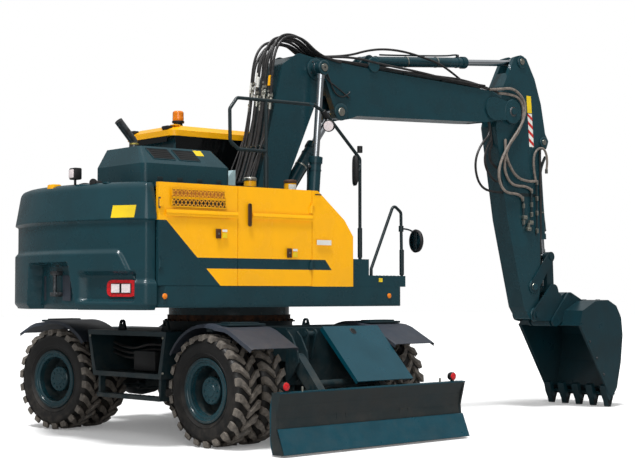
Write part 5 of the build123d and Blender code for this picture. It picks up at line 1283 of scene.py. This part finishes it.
class EXCAVATOR_OT_rails_and_mirrors(Piece, bpy.types.Operator):
    """Rail sleeves and clamps, mirror housings with their glass, work lamp and beacon"""
    bl_idname = "excavator.rails_and_mirrors"
    bl_label = "Rails and mirrors"

    def build(self, sizes, colours):
        s = Shape().use("steel_black", smooth=True)
        for x in (0.79, -0.412):
            s.turned([(0.0176, 0), (0.024, 0.002), (0.024, 0.30), (0.0176, 0.305)],
                     (x, -1.17, 1.79 if x > 0 else 2.45), (0, 0, 1), 16)
        s.turned([(0.0176, 0), (0.024, 0.002), (0.024, 0.26), (0.0176, 0.265)], (1.34, -1.20, 1.62),
                 (0, 0, 1), 16)
        s.use("plastic")
        s.rod((0.36, -1.17, 3.18), (0.30, -1.17, 3.25), 0.030, 14)
        s.rod((0.79, -1.17, 2.86), (0.79, -1.17, 2.93), 0.028, 14)
        s.turned([(0.0001, -0.02), (0.035, -0.02), (0.055, 0.0), (0.060, 0.045), (0.054, 0.052),
                  (0.0001, 0.050)], (0.36, -1.205, 3.10), (-0.8, -0.6, -0.1), 24)
        s.use("lens").turned([(0.0001, 0.0535), (0.050, 0.052), (0.052, 0.046)], (0.36, -1.205, 3.10),
                             (-0.8, -0.6, -0.1), 24)
        s.use("petrol").block((0.12, -1.19, 3.286), (0.17, -1.15, 3.316), 0.006)
        s.done("rail_clamps", "upper", "black_steel")

        m = Shape().use("plastic", smooth=True)
        rings = []
        for deep, grow in ((0.0, 0.85), (0.012, 1.0), (0.050, 0.96), (0.066, 0.80), (0.070, 0.40)):
            rings.append([(1.436 + deep * 0.94, -1.30 + deep * 0.34 + math.cos(t) * 0.100 * grow,
                           1.973 + math.sin(t) * 0.122 * grow) for t in (math.tau * k / 28 for k in range(28))])
        m.loft(rings)
        m.use("mirror")
        m.loft([[(x, -1.30 + math.cos(t) * 0.078, 1.973 + math.sin(t) * 0.098)
                 for t in (math.tau * k / 28 for k in range(28))] for x in (1.4345, 1.4365)])
        m.use("steel_black", smooth=True).tube([(1.48, -1.29, 2.02), (1.45, -1.25, 2.10),
                                                (1.342, -1.205, 2.10)], 0.009)
        m.turned([(0.0180, -0.03), (0.026, -0.03), (0.026, 0.03), (0.0180, 0.03)], (1.332, -1.20, 2.10),
                 (0.02, 0, 1), 18)
        across, ahead = Vector((0.52, 0.854, 0)), Vector((0.854, -0.52, 0))
        middle, rings = Vector((0.640, -1.262, 2.665)), []
        for deep, grow in ((-0.014, 0.90), (-0.006, 1.0), (0.016, 0.97), (0.030, 0.75), (0.036, 0.30)):
            rings.append([middle + ahead * deep
                          + across * (math.copysign(abs(math.cos(t)) ** 0.6, math.cos(t)) * 0.085 * grow)
                          + Vector((0, 0, math.copysign(abs(math.sin(t)) ** 0.6, math.sin(t)) * 0.155 * grow))
                          for t in (math.tau * k / 32 for k in range(32))])
        m.use("plastic", smooth=True).loft(rings)
        m.use("steel_black", smooth=True).tube([middle + ahead * 0.03, (0.72, -1.25, 2.68),
                                                (0.785, -1.19, 2.72), (0.79, -1.17, 2.76)], 0.010)
        m.done("mirrors", "upper", "guard_plastic", 30, ("fittings",))

        b = Shape()
        x, y, z = -0.31, 0.5, 3.202
        b.use("plastic", smooth=True).turned([(0.0001, -0.008), (0.050, -0.008), (0.048, 0), (0.050, 0.006),
                                              (0.046, 0.030), (0.030, 0.034)], (x, y, z), (0, 0, 1), 28)
        b.turned([(0.040, 0.030), (0.064, 0.032), (0.066, 0.052), (0.060, 0.056)], (x, y, z), (0, 0, 1), 28)
        b.use("amber", smooth=True)
        profile = [(0.058, 0.055), (0.060, 0.080)]
        for k in range(5):
            profile += [(0.0595, 0.088 + k * 0.013), (0.0575, 0.094 + k * 0.013)]
        profile += [(0.055, 0.150), (0.045, 0.160), (0.0001, 0.165)]
        b.turned(profile, (x, y, z), (0, 0, 1), 32)
        b.done("beacon_light", "upper", "guard_plastic")


class EXCAVATOR_OT_deck_fittings(Piece, bpy.types.Operator):
    """Filler necks and caps, exhaust tip and clamp, steps and tread plates"""
    bl_idname = "excavator.deck_fittings"
    bl_label = "Deck fittings"

    def build(self, sizes, colours):
        s = Shape()
        for x, cap in ((-0.44, "zinc"), (0.06, "rust")):
            s.use("yellow", smooth=True).turned([(0.0583, 0.0), (0.0615, 0.002), (0.0615, 0.098),
                                                 (0.0583, 0.102)], (x, -0.95, 2.425), (0, 0, 1), 32)
            s.use(cap, smooth=True).turned([(0.064, 0.100), (0.066, 0.104), (0.066, 0.124), (0.058, 0.134),
                                            (0.030, 0.138), (0.0001, 0.138)], (x, -0.95, 2.425), (0, 0, 1),
                                           32)
        s.use("label_white")
        s.turned([(0.0620, 0.020), (0.0622, 0.022), (0.0622, 0.085), (0.0620, 0.087)], (0.06, -0.95, 2.425),
                 (0, 0, 1), 10, 3.0, 4.6)
        s.done("filler_caps", "upper", "yellow_paint")

        e = Shape()
        way = Vector((-0.185, 0, 0.20)).normalized()
        e.use("passivated", smooth=True)
        e.turned([(0.0425, 0), (0.050, 0.002), (0.050, 0.022), (0.0425, 0.024)], (-1.045, 0.20, 2.50),
                 (0, 0, 1), 28)
        e.turned([(0.0425, 0), (0.047, 0.002), (0.047, 0.016), (0.0425, 0.018)], (-1.045, 0.20, 2.93),
                 (0, 0, 1), 28)
        # a near-black disc just inside the pipe's mouth: painted shade
        e.use("inside")
        end = Vector((-1.230, 0.20, 3.16))
        e.turned([(0.0001, 0.0012), (0.037, 0.0012), (0.037, -0.002), (0.0001, -0.002)], end, way, 28)
        e.use("worn").turned([(0.037, 0.0012), (0.0425, 0.0012), (0.0425, -0.010), (0.0422, -0.010)], end,
                             way, 28)
        e.done("exhaust_bands", "upper", "black_steel")

        t = Shape().use("steel_black")
        for x0, x1, y0, y1, z in ((0.87, 1.34, -1.22, -0.93, 1.6105), (-0.70, 0.05, -1.18, -0.90, 2.4415)):
            for k in range(int((x1 - x0) / 0.05)):
                x = x0 + 0.025 + k * 0.05
                for j in range(int((y1 - y0) / 0.05)):
                    y = y0 + 0.025 + j * 0.05 + (0.0125 if k % 2 else 0)
                    t.turned([(0.009, 0), (0.007, 0.003), (0.0001, 0.003)], (x, y, z), (0, 0, 1), 6)
        t.use("label_yellow").block((0.98, -1.2465, 1.545), (1.03, -1.2445, 1.585))
        t.done("tread_studs", "upper", "black_steel")


class EXCAVATOR_OT_cab_details(Piece, bpy.types.Operator):
    """Window seals, seat cushions, levers, steering wheel and roof lamps"""
    bl_idname = "excavator.cab_details"
    bl_label = "Cab details"

    def build(self, sizes, colours):
        s = Shape()
        s.use("plastic")
        for x, y in ((-0.46, 0.46), (-0.46, 1.12)):
            s.block((x - 0.05, y - 0.06, 3.150), (x + 0.02, y + 0.06, 3.19), 0.01)
        s.use("yellow")
        s.block((-0.44, 0.38, 3.192), (-0.36, 0.46, 3.205), 0.004)
        s.use("frit")
        s.side([(-0.40, 2.66), (1.00, 2.66), (0.93, 3.075), (-0.46, 3.075)], 0.3345, 0.3385)
        s.side([(-0.505, 3.02), (-0.501, 3.02), (-0.501, 3.075), (-0.505, 3.075)], 0.42, 1.16)
        # the pale block on the deck is the petrol paint lightened as a painted highlight
        s.use("pale").side([(-0.66, 2.452), (-0.55, 2.452), (-0.55, 2.63), (-0.572, 2.63), (-0.66, 2.535)],
                           -0.86, -0.45)
        s.use("seat", smooth=False)
        s.block((-0.02, 0.60, 2.18), (0.42, 1.00, 2.30), 0.04)
        s.block((-0.12, 0.60, 2.26), (0.02, 1.00, 2.78), 0.05)
        s.block((-0.11, 0.68, 2.80), (-0.01, 0.92, 2.98), 0.04)
        s.use("interior", smooth=True)
        s.tube([(0.86, 0.80, 2.06), (0.84, 0.80, 2.30), (0.72, 0.80, 2.48)], 0.025)
        ring = [(0.70 + math.cos(t) * 0.17 * 0.75, 0.80 + math.sin(t) * 0.17,
                 2.50 + math.cos(t) * 0.17 * 0.55) for t in (math.tau * k / 24 for k in range(25))]
        s.tube(ring, 0.013)
        for y in (0.52, 1.08):
            s.tube([(0.30, y, 2.30), (0.34, y, 2.42), (0.33, y, 2.50)], 0.016)
        s.done("cab_fittings", "upper", "interior")


class EXCAVATOR_OT_blade_details(Piece, bpy.types.Operator):
    """Cutting edge, end plates, ribs, bolts and lamps of the dozer blade"""
    bl_idname = "excavator.blade_details"
    bl_label = "Blade details"

    def build(self, sizes, colours):
        s = Shape(CHASSIS)
        half = 1.243
        s.use("blade")
        s.side([(2.112, 0.243), (2.1205, 0.238), (2.2075, 0.024), (2.198, 0.021)], -half, half)
        s.use("blade")
        s.side([(2.100, 0.552), (2.152, 0.552), (2.156, 0.561), (2.104, 0.565)], -half, half)
        for side in (-1, 1):
            y = side * 1.243
            s.side([(2.04, 0.54), (2.15, 0.555), (2.10, 0.44), (2.085, 0.33), (2.10, 0.225), (2.195, 0.02),
                    (2.05, 0.012), (2.02, 0.10), (2.01, 0.40)], y - (0.018 if side > 0 else 0),
                   y + (0 if side > 0 else 0.018))
        for y in (0.90, -0.95):
            s.use("zinc").rod((2.12, y, 0.56), (2.12, y, 0.605), 0.010)
        s.done("blade_edge", "blade", "blade_paint")

        lamps = Shape(CHASSIS)
        for y in (-1.155, 1.086):
            lamps.use("plastic", smooth=True).turned([(0.0001, -0.03), (0.036, -0.03), (0.042, -0.01),
                                                      (0.042, 0.012), (0.036, 0.016)], (2.115, y, 0.612),
                                                     (1, 0, 0), 24)
            lamps.use("red", smooth=True).turned([(0.038, 0.012), (0.034, 0.024), (0.018, 0.030),
                                                  (0.0001, 0.031)], (2.115, y, 0.612), (1, 0, 0), 24)
            lamps.use("steel_black").block((2.10, y - 0.012, 0.55), (2.13, y + 0.012, 0.585), 0.003)
        lamps.done("blade_lamps", "blade", "guard_plastic")


class EXCAVATOR_OT_bucket_details(Piece, bpy.types.Operator):
    """Wear strips, side cutters, tooth adapters and tips of the bucket"""
    bl_idname = "excavator.bucket_details"
    bl_label = "Bucket details"

    def build(self, sizes, colours):
        s = Shape()
        for y in (-0.46, -0.23, 0.0, 0.23, 0.46):
            m = BOOM_Y + y
            s.use("bucket")
            s.side([(5.405, 0.270), (5.452, 0.288), (5.500, 0.165), (5.512, 0.105), (5.470, 0.085),
                    (5.435, 0.150)], m - 0.050, m + 0.050)
            s.use("tooth")
            s.side([(5.432, 0.186), (5.482, 0.010), (5.515, 0.010), (5.592, 0.190), (5.540, 0.235),
                    (5.470, 0.235)], m - 0.0385, m + 0.0385)
            s.use("tooth").rod((5.505, m - 0.052, 0.155), (5.505, m + 0.052, 0.155), 0.012, 10)
        s.use("bucket")
        for side in (-1, 1):
            y = BOOM_Y + side * 0.500
            y0, y1 = (y - 0.014, y) if side < 0 else (y, y + 0.014)
            s.side([(4.925, 1.035), (4.985, 1.060), (5.52, 0.215), (5.585, 0.165), (5.530, 0.130),
                    (5.455, 0.180)], y0, y1)
            s.use("worn")
            for t in (0.25, 0.5, 0.75):
                x, z = 4.965 + 0.53 * t, 1.035 - 0.83 * t
                s.bolt((x + 0.004, y + side * 0.014, z + 0.004), (0, side, 0), sizes.bolt_radius * 0.9, 0.010)
            s.use("bucket")
        for y in (-0.33, -0.11, 0.11, 0.33):
            m = BOOM_Y + y
            outer = [(5.480, 1.351), (5.644, 1.276), (5.742, 1.122), (5.767, 0.900), (5.727, 0.558),
                     (5.647, 0.238)]
            inner = [(5.640, 0.242), (5.720, 0.562), (5.760, 0.900), (5.735, 1.118), (5.640, 1.268),
                     (5.480, 1.343)]
            s.side(outer + inner, m - 0.035, m + 0.035)
        s.done("bucket_wear_parts", "bucket", "petrol_paint")


class EXCAVATOR_OT_undercarriage_details(Piece, bpy.types.Operator):
    """Slewing ring bolts, step treads, hoses and plates of the undercarriage"""
    bl_idname = "excavator.undercarriage_details"
    bl_label = "Undercarriage details"

    def build(self, sizes, colours):
        s = Shape(CHASSIS).use("rust")
        for x, y in ring_of(36, 0.655):
            s.bolt((x, y, 1.150), (0, 0, 1), sizes.bolt_radius, 0.016)
        s.use("chassis")
        s.turned([(0.640, 0), (0.690, 0), (0.690, 0.012), (0.640, 0.012)], (0, 0, 1.138), (0, 0, 1), 72)
        s.done("slew_ring_bolts", "chassis", "ring_steel")

        t = Shape(CHASSIS)
        for side in (-1, 1):
            edge = side * 1.2005
            t.use("zinc")
            for x in (-0.77, 0.43):
                for z in (0.66, 1.0):
                    t.bolt((x, edge, z), (0, side, 0), sizes.bolt_radius * 0.7, 0.009)
            t.use("steel_black")
            for k in range(11):
                x = -0.60 + k * 0.075
                t.block((x, min(side * 1.10, side * 1.19), 0.4255),
                        (x + 0.03, max(side * 1.10, side * 1.19), 0.430))
            t.use("hose", smooth=True)
            for k in range(3):
                z = 0.93 - k * 0.05
                t.tube([(-0.70, side * 0.95, z), (-0.35, side * 1.0, z - 0.08), (0.0, side * 0.98, z + 0.02),
                        (0.38, side * 0.95, z - 0.04)], 0.014)
            t.use("plastic").block((-0.20, min(side * 0.92, side * 1.08), 0.66),
                                   (0.15, max(side * 0.92, side * 1.08), 0.86), 0.012)
        t.done("tool_bay_fittings", "chassis", "chassis_paint")


CAMERA_PLACE = (-8.723, -12.044, 1.438)    # in the upper frame, behind the machine on its right
CAMERA_RISE, CAMERA_TURN = 2.197, -39.47   # degrees above level, and round from the Y axis
CAMERA_LENS = 80.59                        # millimetres on a 36 mm sensor
FLOOR_HALF = 60.0


class EXCAVATOR_OT_stage(Piece, bpy.types.Operator):
    """Pale floor, white background, soft studio light and the camera"""
    bl_idname = "excavator.stage"
    bl_label = "Stage"

    def build(self, sizes, colours):
        self.floor()
        self.lights()
        self.camera()

    @staticmethod
    def floor():
        mesh = bpy.data.meshes.new("floor")
        mesh.from_pydata([(x * FLOOR_HALF, y * FLOOR_HALF, -0.001)
                          for x, y in ((-1, -1), (1, -1), (1, 1), (-1, 1))], [], [(0, 1, 2, 3)])
        ground = bpy.data.objects.new("floor", mesh)
        bpy.context.scene.collection.objects.link(ground)
        made = bpy.data.materials.new("painted_studio_floor")
        made.use_nodes = True
        tree = made.node_tree
        tree.nodes.clear()
        path = add_node(tree, "ShaderNodeLightPath").outputs
        shade = add_node(tree, "ShaderNodeMix", {0: path["Is Glossy Ray"], 6: (0.8, 0.8, 0.8, 1),
                                                 7: (0.22, 0.22, 0.22, 1)}, data_type="RGBA").outputs[2]
        matt = add_node(tree, "ShaderNodeBsdfDiffuse", {"Color": shade, "Roughness": 0.5}).outputs[0]
        seen = path["Is Camera Ray"]
        glow = add_node(tree, "ShaderNodeMath", {0: seen, 1: 0.14}, operation="MULTIPLY").outputs[0]
        lift = add_node(tree, "ShaderNodeEmission", {"Color": (1, 1, 1, 1), "Strength": glow}).outputs[0]
        both = add_node(tree, "ShaderNodeAddShader", {0: matt, 1: lift}).outputs[0]
        add_node(tree, "ShaderNodeOutputMaterial", {"Surface": both})
        mesh.materials.append(made)

    @staticmethod
    def lights():
        world = bpy.data.worlds.new("studio")
        bpy.context.scene.world = world
        world.use_nodes = True
        tree = world.node_tree
        tree.nodes.clear()
        path = add_node(tree, "ShaderNodeLightPath").outputs
        seen = add_node(tree, "ShaderNodeMath", {0: path["Is Camera Ray"], 1: path["Is Transmission Ray"]},
                        operation="MAXIMUM").outputs[0]
        way = add_node(tree, "ShaderNodeTexCoord").outputs["Generated"]
        up = add_node(tree, "ShaderNodeSeparateXYZ", {0: way}).outputs["Z"]
        room = add_node(tree, "ShaderNodeMapRange", {"Value": up, "From Min": 0.05, "From Max": 0.75,
                                                     "To Min": 0.16, "To Max": 0.62},
                        interpolation_type="SMOOTHSTEP").outputs[0]
        strength = add_node(tree, "ShaderNodeMix", {0: seen, 2: room, 3: 1.0}).outputs[0]
        sky = add_node(tree, "ShaderNodeBackground", {"Color": (1, 1, 1, 1), "Strength": strength}).outputs[0]
        add_node(tree, "ShaderNodeOutputWorld", {"Surface": sky})
        for name, towards, power, angle in (("key", (-0.35, -0.25, 1.0), 2.9, 12),
                                            ("fill", (-0.65, -1.0, 0.45), 0.7, 40)):
            sun = bpy.data.lights.new(name, "SUN")
            sun.energy, sun.angle = power, math.radians(angle)
            lamp = bpy.data.objects.new(name, sun)
            lamp.rotation_euler = Vector(towards).to_track_quat("Z", "Y").to_euler()
            bpy.context.scene.collection.objects.link(lamp)

    @staticmethod
    def camera():
        data = bpy.data.cameras.new("view")
        data.lens, data.sensor_width, data.clip_end = CAMERA_LENS, 36.0, 200.0
        holder = bpy.data.objects.new("view", data)
        holder.location = in_upper(*CAMERA_PLACE)
        holder.rotation_euler = (math.radians(90 + CAMERA_RISE), 0.0, math.radians(CAMERA_TURN))
        bpy.context.scene.collection.objects.link(holder)
        bpy.context.scene.camera = holder
        bpy.context.scene.view_settings.view_transform = "Standard"


OPERATORS = [
    EXCAVATOR_OT_finishes,
    EXCAVATOR_OT_tyres,
    EXCAVATOR_OT_wheel_hubs,
    EXCAVATOR_OT_mudguards,
    EXCAVATOR_OT_cover_plate,
    EXCAVATOR_OT_counterweight,
    EXCAVATOR_OT_counterweight_fittings,
    EXCAVATOR_OT_side_panels,
    EXCAVATOR_OT_hood_details,
    EXCAVATOR_OT_boom_hoses,
    EXCAVATOR_OT_boom_details,
    EXCAVATOR_OT_arm_details,
    EXCAVATOR_OT_cylinder_details,
    EXCAVATOR_OT_rails_and_mirrors,
    EXCAVATOR_OT_deck_fittings,
    EXCAVATOR_OT_cab_details,
    EXCAVATOR_OT_blade_details,
    EXCAVATOR_OT_bucket_details,
    EXCAVATOR_OT_undercarriage_details,
    EXCAVATOR_OT_stage,
]


class EXCAVATOR_PT_build(bpy.types.Panel):
    """Every step of the build, in order"""
    # Rim flanges and hub studs on the four twin wheels
    bl_label = "Excavator"
    bl_space_type = "VIEW_3D"
    bl_region_type = "UI"
    bl_category = "Excavator"

    def draw(self, context):
        for step in OPERATORS:
            self.layout.operator(step.bl_idname)
        for group in (context.scene.excavator_sizes, context.scene.excavator_colours):
            for name in group.bl_rna.properties.keys():
                if name not in ("rna_type", "name"):
                    self.layout.prop(group, name)


CLASSES = [ExcavatorSizes, ExcavatorColours, *OPERATORS, EXCAVATOR_PT_build]


def register():
    for c in CLASSES:
        bpy.utils.register_class(c)
    bpy.types.Scene.excavator_sizes = bpy.props.PointerProperty(type=ExcavatorSizes)
    bpy.types.Scene.excavator_colours = bpy.props.PointerProperty(type=ExcavatorColours)


def unregister():
    del bpy.types.Scene.excavator_colours
    del bpy.types.Scene.excavator_sizes
    for c in reversed(CLASSES):
        bpy.utils.unregister_class(c)


def main():
    register()
    for step in OPERATORS:
        group, name = step.bl_idname.split(".")
        getattr(getattr(bpy.ops, group), name)()


if __name__ == "__main__":
    main()
